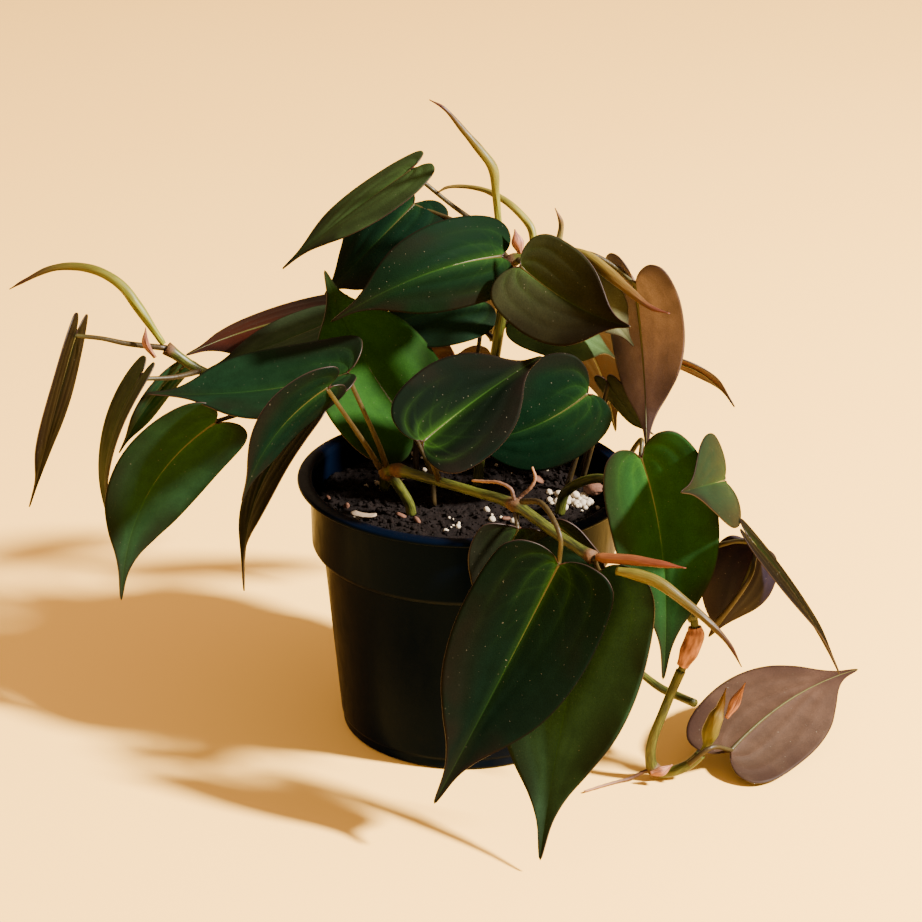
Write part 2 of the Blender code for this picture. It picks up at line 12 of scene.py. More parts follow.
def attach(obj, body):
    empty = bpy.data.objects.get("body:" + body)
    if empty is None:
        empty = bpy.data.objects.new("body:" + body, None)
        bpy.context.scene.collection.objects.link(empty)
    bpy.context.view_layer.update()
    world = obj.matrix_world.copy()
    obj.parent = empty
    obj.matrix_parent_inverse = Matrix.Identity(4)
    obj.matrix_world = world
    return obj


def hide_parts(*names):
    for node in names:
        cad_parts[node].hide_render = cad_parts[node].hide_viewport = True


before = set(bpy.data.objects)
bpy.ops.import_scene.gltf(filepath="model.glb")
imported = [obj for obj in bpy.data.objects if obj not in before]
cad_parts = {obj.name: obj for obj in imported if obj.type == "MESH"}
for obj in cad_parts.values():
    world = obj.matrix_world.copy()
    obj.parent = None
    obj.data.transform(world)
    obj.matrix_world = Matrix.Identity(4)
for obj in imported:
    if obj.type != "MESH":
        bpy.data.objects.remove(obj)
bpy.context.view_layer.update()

# --- The view ---------------------------------------------------------------------------------------
# A long lens a metre away, looking a little down on the pot from straight in front.
# The head of the tripod leans by less than a degree.
LOOK_AT = Vector((-0.0015, 0.0, 0.091))
LOOK_DOWN = math.radians(22.5)
LEAN = math.radians(0.9)

ahead = Vector((0, math.cos(LOOK_DOWN), -math.sin(LOOK_DOWN)))
level_up = Vector((0, math.sin(LOOK_DOWN), math.cos(LOOK_DOWN)))
level_right = Vector((1, 0, 0))
right = level_right * math.cos(LEAN) + level_up * math.sin(LEAN)
up = level_up * math.cos(LEAN) - level_right * math.sin(LEAN)
camera = bpy.data.objects.new("camera", bpy.data.cameras.new("camera"))
camera.data.lens = 122
camera.data.sensor_width = 36
camera.matrix_world = Matrix.Translation(LOOK_AT - ahead) @ Matrix((right, up, -ahead)).transposed().to_4x4()
bpy.context.scene.collection.objects.link(camera)
bpy.context.scene.camera = camera

# --- The light --------------------------------------------------------------------------------------
# One soft lamp to the right and a little in front, above the plant, and a pale warm room all round.
# A weaker lamp on the left opens up the shaded side.
KEY_FROM = Vector((0.75, -0.28, 0.60))
FILL_FROM = Vector((-0.8, -0.7, 0.55))
AIM = Vector((0, 0, 0.1))    # the middle of the plant, which both lamps face


def lamp(name, direction, distance, size, power, colour):
    light = bpy.data.objects.new(name, bpy.data.lights.new(name, "AREA"))
    light.data.shape = "DISK"
    light.data.size = size
    light.data.energy = power
    light.data.color = colour
    place = direction.normalized() * distance
    turn = place.to_track_quat("Z", "Y").to_matrix().to_4x4()
    light.matrix_world = Matrix.Translation(place + AIM) @ turn
    bpy.context.scene.collection.objects.link(light)


lamp("key_lamp", KEY_FROM, 1.8, 0.18, 255, (1.0, 0.93, 0.85))
lamp("left_lamp", FILL_FROM, 2.0, 1.2, 4, (1.0, 0.86, 0.70))
world = bpy.data.worlds.new("room")
world.use_nodes = True
world.node_tree.nodes["Background"].inputs["Color"].default_value = (1.0, 0.68, 0.40, 1)
world.node_tree.nodes["Background"].inputs["Strength"].default_value = 1.0
bpy.context.scene.world = world


# --- The floor --------------------------------------------------------------------------------------
# A pale cream surface that the pot stands on, wide enough to fill the view behind it.
# It isn't part of the plant.
def linear(*display):
    """A display colour from 0 to 255 as the shader's own numbers."""
    return tuple(((c / 255 + 0.055) / 1.055) ** 2.4 if c > 10 else c / 255 / 12.92 for c in display)


class Wire:
    """A socket of a material, so that shader sums are written as plain expressions."""

    def __init__(self, tree, socket=None):
        self.tree = tree
        self.socket = socket

    def node(self, kind, settings=None, inputs=None, output=0):
        """A new node: its settings first, then a value or a wire for each named or numbered input."""
        made = self.tree.nodes.new(kind)
        for name, value in (settings or {}).items():
            setattr(made, name, value)
        for key, value in (inputs or {}).items():
            if isinstance(value, Wire):
                self.tree.links.new(value.socket, made.inputs[key])
            else:
                made.inputs[key].default_value = value
        return Wire(self.tree, made.outputs[output])

    def maths(self, operation, *values):
        return self.node("ShaderNodeMath", {"operation": operation}, dict(enumerate(values)))

    def __add__(self, other):
        return self.maths("ADD", self, other)

    def __radd__(self, other):
        return self.maths("ADD", other, self)

    def __sub__(self, other):
        return self.maths("SUBTRACT", self, other)

    def __rsub__(self, other):
        return self.maths("SUBTRACT", other, self)

    def __mul__(self, other):
        return self.maths("MULTIPLY", self, other)

    def __rmul__(self, other):
        return self.maths("MULTIPLY", other, self)

    def __truediv__(self, other):
        return self.maths("DIVIDE", self, other)

    def __abs__(self):
        return self.maths("ABSOLUTE", self)

    def fade(self, start, end, before=1.0, after=0.0):
        """before up to start, after past end, and a smooth change between them."""
        return self.node("ShaderNodeMapRange", {"interpolation_type": "SMOOTHSTEP"},
                         {0: self, 1: start, 2: end, 3: before, 4: after})

    def tint(self, first, second):
        """A colour that goes from first to second as this wire goes from 0 to 1."""
        first, second = [c if isinstance(c, Wire) else (*c, 1) for c in (first, second)]
        return self.node("ShaderNodeMix", {"data_type": "RGBA"}, {0: self, 6: first, 7: second}, output=2)

    def grain(self, size, detail=2.0, rough=0.5, stretch=None):
        """Soft noise from 0 to 1 with spots of about this size in metres, drawn out by stretch."""
        place = self.node("ShaderNodeTexCoord", output=3)
        if stretch:
            place = self.node("ShaderNodeMapping", None, {"Vector": place, "Scale": stretch})
        return self.node("ShaderNodeTexNoise", None,
                         {"Vector": place, "Scale": 1 / size, "Detail": detail, "Roughness": rough})

    def own(self, name, output=0):
        """The piece's own attribute: 0 is its colour, 2 its number, 3 its alpha."""
        return self.node("ShaderNodeAttribute", {"attribute_name": name}, output=output)


def material(name, **constants):
    """A material, the wire that its sums start from, and its shader with these sockets set."""
    made = bpy.data.materials.new(name)
    made.use_nodes = True
    shader = made.node_tree.nodes["Principled BSDF"]
    for key, value in constants.items():
        shader.inputs[key.replace("_", " ")].default_value = value
    return made, Wire(made.node_tree), shader


def wear(shader, **wires):
    """Links wires to the shader's sockets."""
    for key, wire in wires.items():
        wire.tree.links.new(wire.socket, shader.inputs[key.replace("_", " ")])


def relief(height, depth, strength=1.0):
    """A bump normal from a height of 0 to 1 that stands for this depth in metres."""
    return height.node("ShaderNodeBump", None, {"Strength": strength, "Distance": depth, "Height": height})


def piece(name, bm, *materials, smooth=True):
    """An object from a finished bmesh, at the origin."""
    mesh = bpy.data.meshes.new(name)
    bm.to_mesh(mesh)
    bm.free()
    for each in materials:
        mesh.materials.append(each)
    if smooth:
        mesh.shade_smooth()
    made = bpy.data.objects.new(name, mesh)
    bpy.context.scene.collection.objects.link(made)
    return made


bm = bmesh.new()
bmesh.ops.create_grid(bm, x_segments=2, y_segments=2, size=6)
paper, sums, shader = material("pale_paper", Roughness=0.9)
wear(shader, Base_Color=sums.grain(0.25).tint(linear(255, 206, 104), linear(255, 199, 96)))
floor = piece("floor", bm, paper, smooth=False)

# --- The pot ----------------------------------------------------------------------------------------
# A round nursery pot, thin black polypropylene, blow-moulded in one piece with a flat lip, a straight
# collar band, a tapered body and a low foot, with drain holes punched through its floor.
MM = 0.001
POT_HEIGHT = 86.0
POT_STEPS = 144              # round the pot
POT_OUTSIDE = ((38.0, 0), (39.0, 1), (39.0, 3.5), (39.6, 4.5), (45.6, 61.5), (48.3, 62.5), (49.2, 64),
               (49.8, 83.4), (50.6, 84.4), (53.6, 84.4), (54.0, 85.2), (53.5, POT_HEIGHT),
               (49.5, POT_HEIGHT))
POT_FLOOR = 1.6
POT_INSIDE = ((48.7, 84.4), (48.1, 65.1), (44.5, 62.9), (37.9, POT_FLOOR))
DRAIN_HOLES = 6
DRAIN_RADIUS = 3.5
DRAIN_RING = 27              # from the pot's middle to a hole's


def turned(outline, steps):
    """A closed round shape from an outline of radii and heights in millimetres, middle to middle."""
    bm = bmesh.new()
    points = [bm.verts.new((r * MM, 0, z * MM)) for r, z in outline]
    lines = [bm.edges.new(pair) for pair in zip(points, points[1:])]
    bmesh.ops.spin(bm, geom=points + lines, cent=(0, 0, 0), axis=(0, 0, 1), angle=math.tau, steps=steps,
                   use_merge=True)
    bmesh.ops.remove_doubles(bm, verts=bm.verts, dist=1e-6)
    bmesh.ops.recalc_face_normals(bm, faces=bm.faces)
    return bm


bm = turned([(0, 0), *POT_OUTSIDE, *POT_INSIDE, (0, POT_FLOOR)], POT_STEPS)
ridges = [e for e in bm.edges if e.calc_face_angle(0) > math.radians(12)
          and abs(e.verts[0].co.z - e.verts[1].co.z) < 1e-7]
bmesh.ops.bevel(bm, geom=ridges, offset=0.35 * MM, offset_type="OFFSET", affect="EDGES", segments=2,
                profile=0.5, material=-1, clamp_overlap=True)
plastic, sums, shader = material("black_nursery_plastic", Specular_IOR_Level=0.022,
                                 Specular_Tint=(0.3, 0.6, 1.0, 1))
scuffs = sums.grain(0.0035, 4, 0.6, (1, 1, 0.35))
dust = sums.node("ShaderNodeSeparateXYZ", None, {0: sums.node("ShaderNodeTexCoord", output=3)}, output=2)
low_dust = dust.fade(0.0, 0.03) * sums.grain(0.012, 4, 0.65).fade(0.42, 0.66, 0, 1) * 0.35
specks = sums.grain(0.0009, 1).fade(0.70, 0.76, 0, 1) * 0.30
wear(shader,
     Base_Color=(low_dust + specks).tint(linear(2, 6, 17), linear(15, 16, 19)),
     Roughness=scuffs.fade(0.3, 0.8, 0.28, 0.42) + low_dust * 0.5,
     Normal=relief(sums.grain(0.0016, 3, 0.55, (1, 1, 0.6)), 0.00006, 0.6))
pot = piece("pot_shell", bm, plastic)
for k in range(DRAIN_HOLES):
    angle = math.tau * (k + 0.45) / DRAIN_HOLES
    bm = bmesh.new()
    bmesh.ops.create_cone(bm, cap_ends=True, segments=24, radius1=DRAIN_RADIUS * MM,
                          radius2=DRAIN_RADIUS * MM, depth=8 * MM)
    centre = (DRAIN_RING * MM * math.cos(angle), DRAIN_RING * MM * math.sin(angle), 0)
    bmesh.ops.translate(bm, verts=bm.verts, vec=centre)
    punch = piece(f"punch_{k}", bm)
    hole = pot.modifiers.new(punch.name, "BOOLEAN")
    hole.object = punch
    hole.solver = "EXACT"
    bpy.context.view_layer.update()
    punched = bpy.data.meshes.new_from_object(pot.evaluated_get(bpy.context.evaluated_depsgraph_get()))
    pot.modifiers.clear()
    pot.data = punched
    bpy.data.objects.remove(punch)
pot.data.name = "pot_shell"
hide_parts("pot")
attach(pot, "root")

# --- The soil ---------------------------------------------------------------------------------------
# Damp, dark peat mix that fills the pot to 8 mm under its lip and was pressed down by hand.
# Its surface is lumpy, with crumbs lying loose on it.
SOIL_TOP = 78.0
SOIL_RADIUS = 48.1
SOIL_SIDE = ((0, 1.9), (37.6, 1.9), (44.2, 62.9), (47.8, 65.1), (SOIL_RADIUS, 75.0))
SOIL_RINGS = 56
SOIL_STEPS = 168             # round the bed
CRUMBS = 1900
rng = random.Random(11)


def soil_height(x, y):
    """The soil's surface in millimetres at a place in millimetres."""
    dome = 1.2 * (1 - (math.hypot(x, y) / SOIL_RADIUS) ** 2)
    lumps = 1.3 * noise.fractal(Vector((x / 11, y / 11, 3)), 0.9, 2.1, 4)
    crumbs = 0.8 * noise.fractal(Vector((x / 2.6, y / 2.6, 7)), 0.8, 2.0, 3)
    return SOIL_TOP - 1.0 + dome + lumps + crumbs


surface = [(SOIL_RADIUS * k / SOIL_RINGS, 77.0) for k in range(SOIL_RINGS - 1, -1, -1)]
bm = turned([*SOIL_SIDE, *surface], SOIL_STEPS)
for vert in bm.verts:
    if vert.co.z > 76 * MM:
        vert.co.z = soil_height(vert.co.x / MM, vert.co.y / MM) * MM
peat, sums, shader = material("peat_mix", Specular_IOR_Level=0.08)
fibre = sums.grain(0.0007, 3, 0.6)
wear(shader,
     Base_Color=(sums.grain(0.004, 4, 0.7) * fibre * 2.2).tint(linear(2, 2, 3), linear(22, 15, 12)),
     Roughness=fibre.fade(0.3, 0.7, 0.78, 0.98),
     Normal=relief(fibre, 0.0005))
soil = piece("soil_bed", bm, peat)
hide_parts("soil")
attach(soil, "root")


def pebble(bm, place, size, uneven, subdivisions=1):
    """Adds a rough lump of this size in millimetres, turned at random."""
    angle = rng.uniform(0, math.tau)
    turn = Matrix.Rotation(angle, 4, Vector((rng.random(), rng.random(), 1)).normalized())
    grown = Matrix.Diagonal((*(s * MM for s in size), 1))
    made = bmesh.ops.create_icosphere(bm, subdivisions=subdivisions, radius=1)["verts"]
    for vert in made:
        vert.co *= 1 + uneven * (rng.random() - 0.5)
    bmesh.ops.transform(bm, verts=made, matrix=Matrix.Translation(Vector(place) * MM) @ turn @ grown)


bm = bmesh.new()
for _ in range(CRUMBS):
    reach = SOIL_RADIUS * math.sqrt(rng.random()) * 0.975
    angle = rng.uniform(0, math.tau)
    x, y = reach * math.cos(angle), reach * math.sin(angle)
    size = rng.choice((0.3, 0.4, 0.5, 0.6, 0.8, 1.2))
    pebble(bm, (x, y, soil_height(x, y) + size * 0.25), (size, size * 0.8, size * 0.65), 0.55)
crumbs = piece("soil_crumbs", bm, peat)
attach(crumbs, "root")

# --- Perlite and chips ------------------------------------------------------------------------------
# White beads of puffed glass, brown chips of bark and coir, and one pale flake, all lying in the
# surface of the soil. The beads lie thickest on the right, where water has washed them together.
# Each bed is its middle, its spread and its number of beads; each chip its place, length and width.
BEAD_BEDS = ((33, -1, 5, 44), (38, -4, 4, 16), (28, 4, 6, 8), (-3, -21, 6, 7), (10, -20, 7, 9),
             (-30, 8, 10, 6), (-12, 30, 14, 10), (20, 26, 12, 9), (0, -42, 5, 3), (-38, -18, 6, 4))
CHIPS = ((-44, -2, 2.4, 1.0), (-38, -8, 2.0, 1.1), (-20, -16, 2.2, 1.2), (-15, -20, 1.6, 1.0),
         (13, -18, 2.2, 1.3), (17, -24, 1.8, 1.0), (24, 14, 2.6, 1.5), (-8, 24, 3.0, 1.4),
         (-28, 22, 2.4, 1.2), (6, 36, 2.6, 1.2), (30, -24, 1.8, 1.1), (-2, -34, 2.0, 1.0))

bm = bmesh.new()
for cx, cy, spread, count in BEAD_BEDS:
    for _ in range(count):
        x, y = cx + rng.gauss(0, spread / 2), cy + rng.gauss(0, spread / 2)
        if math.hypot(x, y) < SOIL_RADIUS - 2:
            size = rng.choice((0.5, 0.7, 0.9, 1.3, 1.7)) * (1 if cx > 30 else 0.7)
            pebble(bm, (x, y, soil_height(x, y) + size * 0.6), (size, size * 0.9, size * 0.8), 0.25, 2)
puffed, sums, shader = material("puffed_glass", Roughness=0.75)
wear(shader,
     Base_Color=sums.grain(0.0008, 2).tint(linear(184, 174, 154), linear(126, 110, 88)),
     Normal=relief(sums.grain(0.0004, 2), 0.0001))
beads = piece("perlite_beads", bm, puffed)
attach(beads, "root")

bm = bmesh.new()
for x, y, long, wide in CHIPS:
    pebble(bm, (x, y, soil_height(x, y) + 0.7), (long, wide, 0.7), 0.4, 2)
bark, sums, shader = material("pine_bark", Roughness=0.85)
rings = sums.grain(0.0011, 3, 0.6, (1, 0.3, 1))
wear(shader,
     Base_Color=rings.tint(linear(42, 25, 15), linear(100, 58, 32)),
     Normal=relief(rings, 0.0003))
chips = piece("bark_chips", bm, bark)
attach(chips, "root")

bm = bmesh.new()
pebble(bm, (41, 2, 81.3), (3.5, 2.5, 2.1), 0.35, 3)
chunk = piece("bark_chunk", bm, bark)
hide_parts("bark_chip")
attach(chunk, "root")

bm = bmesh.new()
flake_verts = bmesh.ops.create_grid(bm, x_segments=9, y_segments=5, size=1)["verts"]
for vert in flake_verts:
    x, y = vert.co.x, vert.co.y
    ragged = 1 - 0.25 * abs(math.sin(5 * x)) * y * y
    lift = 79.2 + 0.5 * x * x - 0.4 * x
    vert.co = Vector((-32 + 4 * x * ragged + 0.6 * y, -17 + 1.5 * y * ragged, lift)) * MM
pith, sums, shader = material("dry_pith", Roughness=0.7)
threads = sums.grain(0.001, 2, 0.5, (0.3, 1, 1))
wear(shader, Base_Color=threads.tint(linear(142, 126, 102), linear(96, 76, 56)))
flake = piece("pale_flake", bm, pith)
wall = flake.modifiers.new("wall", "SOLIDIFY")
wall.thickness = 0.5 * MM
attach(flake, "root")

# --- The vines --------------------------------------------------------------------------------------
# Four round green stems root in the soil. Each swells at its nodes, where a leaf has grown, and turns
# tan and corky there. One leans over the front rim, one stands, one reaches left, one trails right.
STEM_RADIUS = 1.5
NODE = 1.45                  # a swollen node's radius, over the stem's
KNEE = 2.4                   # half the length of the swelling at a node
STEPS = 8                    # from one point of a route to the next
Stem = namedtuple("Stem", "points radii")   # points in millimetres, radii over STEM_RADIUS
VINES = {
    "vine_front": Stem(((-17, -14, 78.4), (-18, -15, 83), (-22, -18, 91), (-25, -20, 95), (-21, -24, 97.5),
                        (-8, -34, 98), (3, -44, 99), (15, -56, 100), (28, -69, 96), (38, -78, 93)),
                       (1.1, 1.1, 1.1, NODE, NODE, 1, 1, NODE, 1.05, NODE)),
    "vine_middle": Stem(((4, 8, 78.4), (5, 9, 92), (9, 8, 125), (12, 3, 150), (13, 1, 158), (20, 0, 160.5),
                         (28, 0, 162)),
                        (1.2, 1.1, 1.1, 1.1, NODE, 1.1, NODE)),
    "vine_left": Stem(((-26, 6, 78.4), (-27, 5, 90), (-38, 1, 105), (-53, -2, 112), (-69, -2, 116),
                       (-84, 0, 120.5), (-95, 0, 128)),
                      (1.2, 1.1, 1, 1, 1, 1, NODE)),
    "vine_right_over_rim": Stem(((30, -12, 78.4), (32, -14, 87), (40, -20, 94), (48, -27, 95),
                                 (56, -32, 88), (61, -34, 77), (66, -37, 65), (72, -40, 55)),
                                (1.2, 1.1, 1, 1, 1, 1, 1, 1.2)),
    "vine_right_trailing": Stem(((68.6, -42.4, 38.5), (66, -43.5, 32), (63, -45, 24), (60.5, -45, 16),
                                 (60, -44, 8.5), (61.5, -43, 3.6), (65, -43, 2.7), (69, -43, 3.8),
                                 (73, -43.5, 6.5), (76, -44, 10)),
                                (1.05, 1, 1, 1.05, 1.2, NODE, 1.3, 1.2, 1.1, 1.2)),
    "side_stem_right": Stem(((74, -34, 23), (70, -28, 22), (64, -23, 22.5), (58, -18, 25), (52, -14, 29)),
                            (0.9, 0.9, 0.9, 0.8, 0.5)),
}


def smooth_path(points, steps=STEPS):
    """A Catmull-Rom curve through the points, with this many steps from one to the next."""
    p = [Vector(q) for q in points]
    p = [2 * p[0] - p[1]] + p + [2 * p[-1] - p[-2]]
    path = []
    for a, b, c, d in zip(p, p[1:], p[2:], p[3:]):
        for k in range(steps):
            f = k / steps
            path.append(0.5 * (2 * b + (c - a) * f + (2 * a - 5 * b + 4 * c - d) * f ** 2
                               + (3 * b - a - 3 * c + d) * f ** 3))
    return path + [p[-2]]


def frames(path, first_side):
    """The distance along a path, its direction and its two side ways, at each of its points."""
    side = first_side
    walked = 0
    found = []
    for k, centre in enumerate(path):
        onward = (path[min(k + 1, len(path) - 1)] - path[max(k - 1, 0)]).normalized()
        side = (side - onward * side.dot(onward)).normalized()
        if k:
            walked += (centre - path[k - 1]).length
        found.append((centre, walked, side, onward.cross(side)))
    return found


def cloth(bm, across, along):
    """A flat grid to be shaped: each vertex with how far across and along it is, from 0 to 1."""
    made = bmesh.ops.create_grid(bm, x_segments=across, y_segments=along, size=0.5)["verts"]
    return [(v, v.co.x + 0.5, v.co.y + 0.5) for v in made]


def tube(bm, path, radius, sides, section=None, mark=None):
    """Wraps a grid round a path. radius and mark take a step of the path, section a turn and a step."""
    ways = frames(path, Vector((0.3, 1, 0.2)).cross(path[1] - path[0]).normalized())
    flat = bm.loops.layers.uv.get("flat") or bm.loops.layers.uv.new("flat")
    swell = bm.verts.layers.float.get("swell") or bm.verts.layers.float.new("swell")
    along = bm.verts.layers.float.get("along") or bm.verts.layers.float.new("along")
    made = cloth(bm, sides, len(path) - 1)
    steps = {vert: (g, round(f * (len(path) - 1))) for vert, g, f in made}
    for face in {face for vert in steps for face in vert.link_faces}:
        for loop in face.loops:
            g, k = steps[loop.vert]
            loop[flat].uv = (ways[k][1] * MM, g * math.tau * STEM_RADIUS * MM)
    for vert, (g, k) in steps.items():
        centre, walked, side, over = ways[k]
        angle = math.tau * g
        reach = radius(k) * (section(g, k) if section else 1)
        vert.co = (centre + side * reach * math.cos(angle) + over * reach * math.sin(angle)) * MM
        vert[swell] = mark(k) if mark else 0
        vert[along] = k / (len(path) - 1)
    bmesh.ops.remove_doubles(bm, verts=list(steps), dist=1e-7)
    rims = [e for e in bm.edges if e.is_boundary]
    bmesh.ops.holes_fill(bm, edges=rims, sides=0)
    bmesh.ops.recalc_face_normals(bm, faces=bm.faces)


def eased(values, k):
    """The value at a step of a route, from a row of one value for each of its points."""
    n = min(k // STEPS, len(values) - 2)
    f = k / STEPS - n
    f = f * f * (3 - 2 * f)
    return values[n] * (1 - f) + values[n + 1] * f


def lengthways(sums, squeeze, fineness, detail):
    """Noise drawn out along the piece, by a squeeze along its own flat map."""
    flat = sums.node("ShaderNodeUVMap", {"uv_map": "flat"})
    place = sums.node("ShaderNodeMapping", None, {"Vector": flat, "Scale": (squeeze, 1, 1)})
    return sums.node("ShaderNodeTexNoise", None, {"Vector": place, "Scale": fineness, "Detail": detail})


vine_skin, sums, shader = material("vine_skin", Specular_IOR_Level=0.3, Subsurface_Weight=0.08,
                                   Subsurface_Scale=0.002)
shader.inputs["Subsurface Radius"].default_value = (0.6, 1.0, 0.3)
streaks = lengthways(sums, 0.12, 2200, 3)
cork = sums.own("swell", 2).fade(0.15, 0.75, 0, 1)
ripe = (streaks * 0.6 + sums.grain(0.012) * 0.4).fade(0.35, 0.65, 0, 1)
green = ripe.tint(linear(26, 31, 9), linear(70, 74, 22))
tan = sums.grain(0.0012, 3).tint(linear(42, 25, 12), linear(90, 60, 30))
wear(shader,
     Base_Color=cork.tint(green, tan),
     Roughness=cork.fade(0, 1, 0.42, 0.75),
     Normal=relief(streaks * 0.5 + sums.grain(0.0006) * cork, 0.00025, 0.7))


def grow_vine(name, vine):
    """Makes one stem with its swollen nodes, and gives its path."""
    path = smooth_path(vine.points)
    walked = [0]
    for a, b in zip(path, path[1:]):
        walked.append(walked[-1] + (b - a).length)
    knees = [walked[n * STEPS] for n, r in enumerate(vine.radii) if r == NODE]
    plain = [min(r, 1.15) for r in vine.radii]

    def knee(k):
        return max([math.exp(-((walked[k] - w) / KNEE) ** 2) for w in knees] or [0])

    def vine_radius(k):
        ring = 0.05 * math.sin(3.2 * walked[k]) * knee(k)
        return STEM_RADIUS * (eased(plain, k) + (NODE - 1.05) * knee(k) + ring)

    bm = bmesh.new()
    tube(bm, path, vine_radius, 20, lambda g, k: 1 + 0.025 * math.cos(3 * math.tau * g + 0.15 * k), knee)
    stem = piece("stem_" + name, bm, vine_skin)
    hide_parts(name)
    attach(stem, "root")
    return path


vine_paths = [grow_vine(name, vine) for name, vine in VINES.items()]

# The right vine goes on, thinner, through the papery sheath that hides it.
IN_SHEATH = ((72, -40, 55.5), (72.4, -40.6, 53), (72.3, -41, 49.5), (71, -41.6, 45), (68.6, -42.4, 38.3))
bm = bmesh.new()
tube(bm, smooth_path(IN_SHEATH), lambda k: 1.3, 16)
bridge = piece("stem_in_sheath", bm, vine_skin)
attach(bridge, "root")

# --- How a leaf is made -----------------------------------------------------------------------------
# A heart-shaped blade on a thin stalk, with round back lobes and a drawn-out drip tip. The top is
# velvety green over sunken veins, the underside is smooth red-brown with raised ones, and a thin
# coloured rim runs round the edge. The stalk runs on under the blade as its midrib.
OUTLINE = ((0, 0), (0.15, -0.075), (0.41, -0.12), (0.71, -0.09), (0.93, 0.05), (1.0, 0.25),
           (0.95, 0.42), (0.79, 0.57), (0.53, 0.69), (0.26, 0.79), (0.10, 0.88), (0, 1))
ROW_LAG = 2.2                # how late the rows of the blade's grid leave its base
ROW_SWEEP = 1.35             # how sharply a row bends back from the midrib to the edge
BLADE_ACROSS = 36
BLADE_ALONG = 52
BLADE_THICKNESS = 0.38
STALK_RADIUS = 0.8
STALK_REACH = 3.5            # a stalk's foot this near a vine's path is moved onto it
TOP_SHADE = 0.10             # the dark velvet's albedo, over the colours given for a leaf
UNDER_SHADE = 0.25
SIDE_VEINS = (0.34, 0.68)    # how far out the long side veins run, over the half width

# In millimetres: where the blade starts and ends, the way that its top looks, half its width, the
# angle that its halves fold up by, how far it curls down at the sides, bends along and swings to one
# side, how long its lobes are, and its stalk's points. Then each side's colours at the stalk and at
# the tip, and how strongly the veins show. The colours were set to how each leaf looks in its place
# under these lamps, so they hold painted light and shade as well as the leaf's own colour.
Leaf = namedtuple("Leaf", "base tip face width fold sag arch sweep lobe petiole top under veins")

outline_curve = smooth_path([(-x, y, 0) for x, y in OUTLINE[1:2]] + [(x, y, 0) for x, y in OUTLINE]
                            + [(-OUTLINE[-2][0], OUTLINE[-2][1], 0)], 24)[24:-24]


def blade_surface(leaf, waves):
    """A function of u from -1 to 1 across and v from 0 to 1 along.

    It gives the point in millimetres, the way up there, and the place on the flattened blade."""
    base, tip = Vector(leaf.base), Vector(leaf.tip)
    length = (tip - base).length
    along = (tip - base) / length
    normal = (Vector(leaf.face) - along * along.dot(leaf.face)).normalized()
    side = along.cross(normal)
    fold = math.radians(leaf.fold)

    def at(u, v):
        across, end, _ = outline_curve[round(v * (len(outline_curve) - 1))]
        if end < 0:
            end *= leaf.lobe
        out = abs(u)
        y = v ** ROW_LAG + (end - v ** ROW_LAG) * out ** ROW_SWEEP
        x = u * across * leaf.width
        on_rib = min(max(y, 0), 1)
        rise = 4 * on_rib * (1 - on_rib)
        slope = 4 * (1 - 2 * on_rib) / length
        bend = rise + slope * (y - on_rib) * length
        tangent = (along + (normal * leaf.arch + side * leaf.sweep) * slope).normalized()
        across_way = (side - tangent * side.dot(tangent)).normalized()
        upward = across_way.cross(tangent)
        height = abs(x) * math.sin(fold) - leaf.sag * (x / leaf.width) ** 2
        height += waves.lift(u, v, out, across * leaf.width)
        rib = base + along * y * length + (normal * leaf.arch + side * leaf.sweep) * bend
        return rib + across_way * x * math.cos(fold) + upward * height, upward, (x, y * length)

    return at


class Waves:
    """The small ups and downs of one blade: quilting between its veins and a slow ripple at its edge."""

    def __init__(self, seed):
        dice = random.Random(seed)
        self.turn = dice.uniform(0, math.tau)
        self.count = dice.uniform(1.3, 2.2)
        self.ripple = dice.uniform(0.35, 0.8)

    def lift(self, u, v, out, half_width):
        quilt = 0
        for vein in (0, *SIDE_VEINS):
            quilt -= math.exp(-((out - vein) * max(half_width, 2) / 0.8) ** 2)
        inside = min(1, half_width / 9) * max(0, 1 - out) ** 0.3
        wave = math.sin(math.tau * self.count * v + self.turn + (1.3 if u > 0 else 0))
        edge = self.ripple * out ** 3 * wave
        return 0.24 * quilt * inside + edge * min(1, half_width / 10)


def vein_wire(sums):
    """How much vein shows, with a soft glow beside each, how near the edge it is, and the two places."""
    flat = sums.node("ShaderNodeSeparateXYZ", None, {0: sums.node("ShaderNodeUVMap", {"uv_map": "flat"})})
    blade = sums.node("ShaderNodeSeparateXYZ", None, {0: sums.node("ShaderNodeUVMap", {"uv_map": "blade"})})
    v = Wire(sums.tree, blade.socket.node.outputs[1])
    x = abs(flat)
    u = abs(blade)
    half_width = x / sums.maths("MAXIMUM", u, 0.04)
    veins = (x / v.fade(0, 1, 0.0007, 0.00028)).fade(0.3, 1.0) * 0.75 + (x / 0.0028).fade(0, 1) * 0.30
    patchy = sums.grain(0.006).fade(0.3, 0.7, 0.45, 1)
    rows = abs(sums.maths("FRACT", v * 7 - u * 2.2 + sums.grain(0.012) * 0.5) - 0.5)
    veins = veins + rows.fade(0.0, 0.16) * u.fade(0.1, 0.85) * v.fade(0.1, 0.85) * patchy * 0.13
    for out, strength in zip(SIDE_VEINS, (0.32, 0.20)):
        off = abs(u - out) * half_width
        beside = (off / 0.00030).fade(0.1, 1.3) * 0.45 + (off / 0.0020).fade(0, 1) * 0.55
        veins = veins + beside * v.fade(0.12, 0.66) * patchy * strength
    veins = veins + u.fade(0, 0.6) * v.fade(0.1, 0.9) * 0.10
    edge = ((1 - u) * half_width).fade(0.00012, 0.0004)
    return sums.maths("MINIMUM", veins * v.fade(0.1, 0.95, 1.0, 0.12), 1), edge, u, v


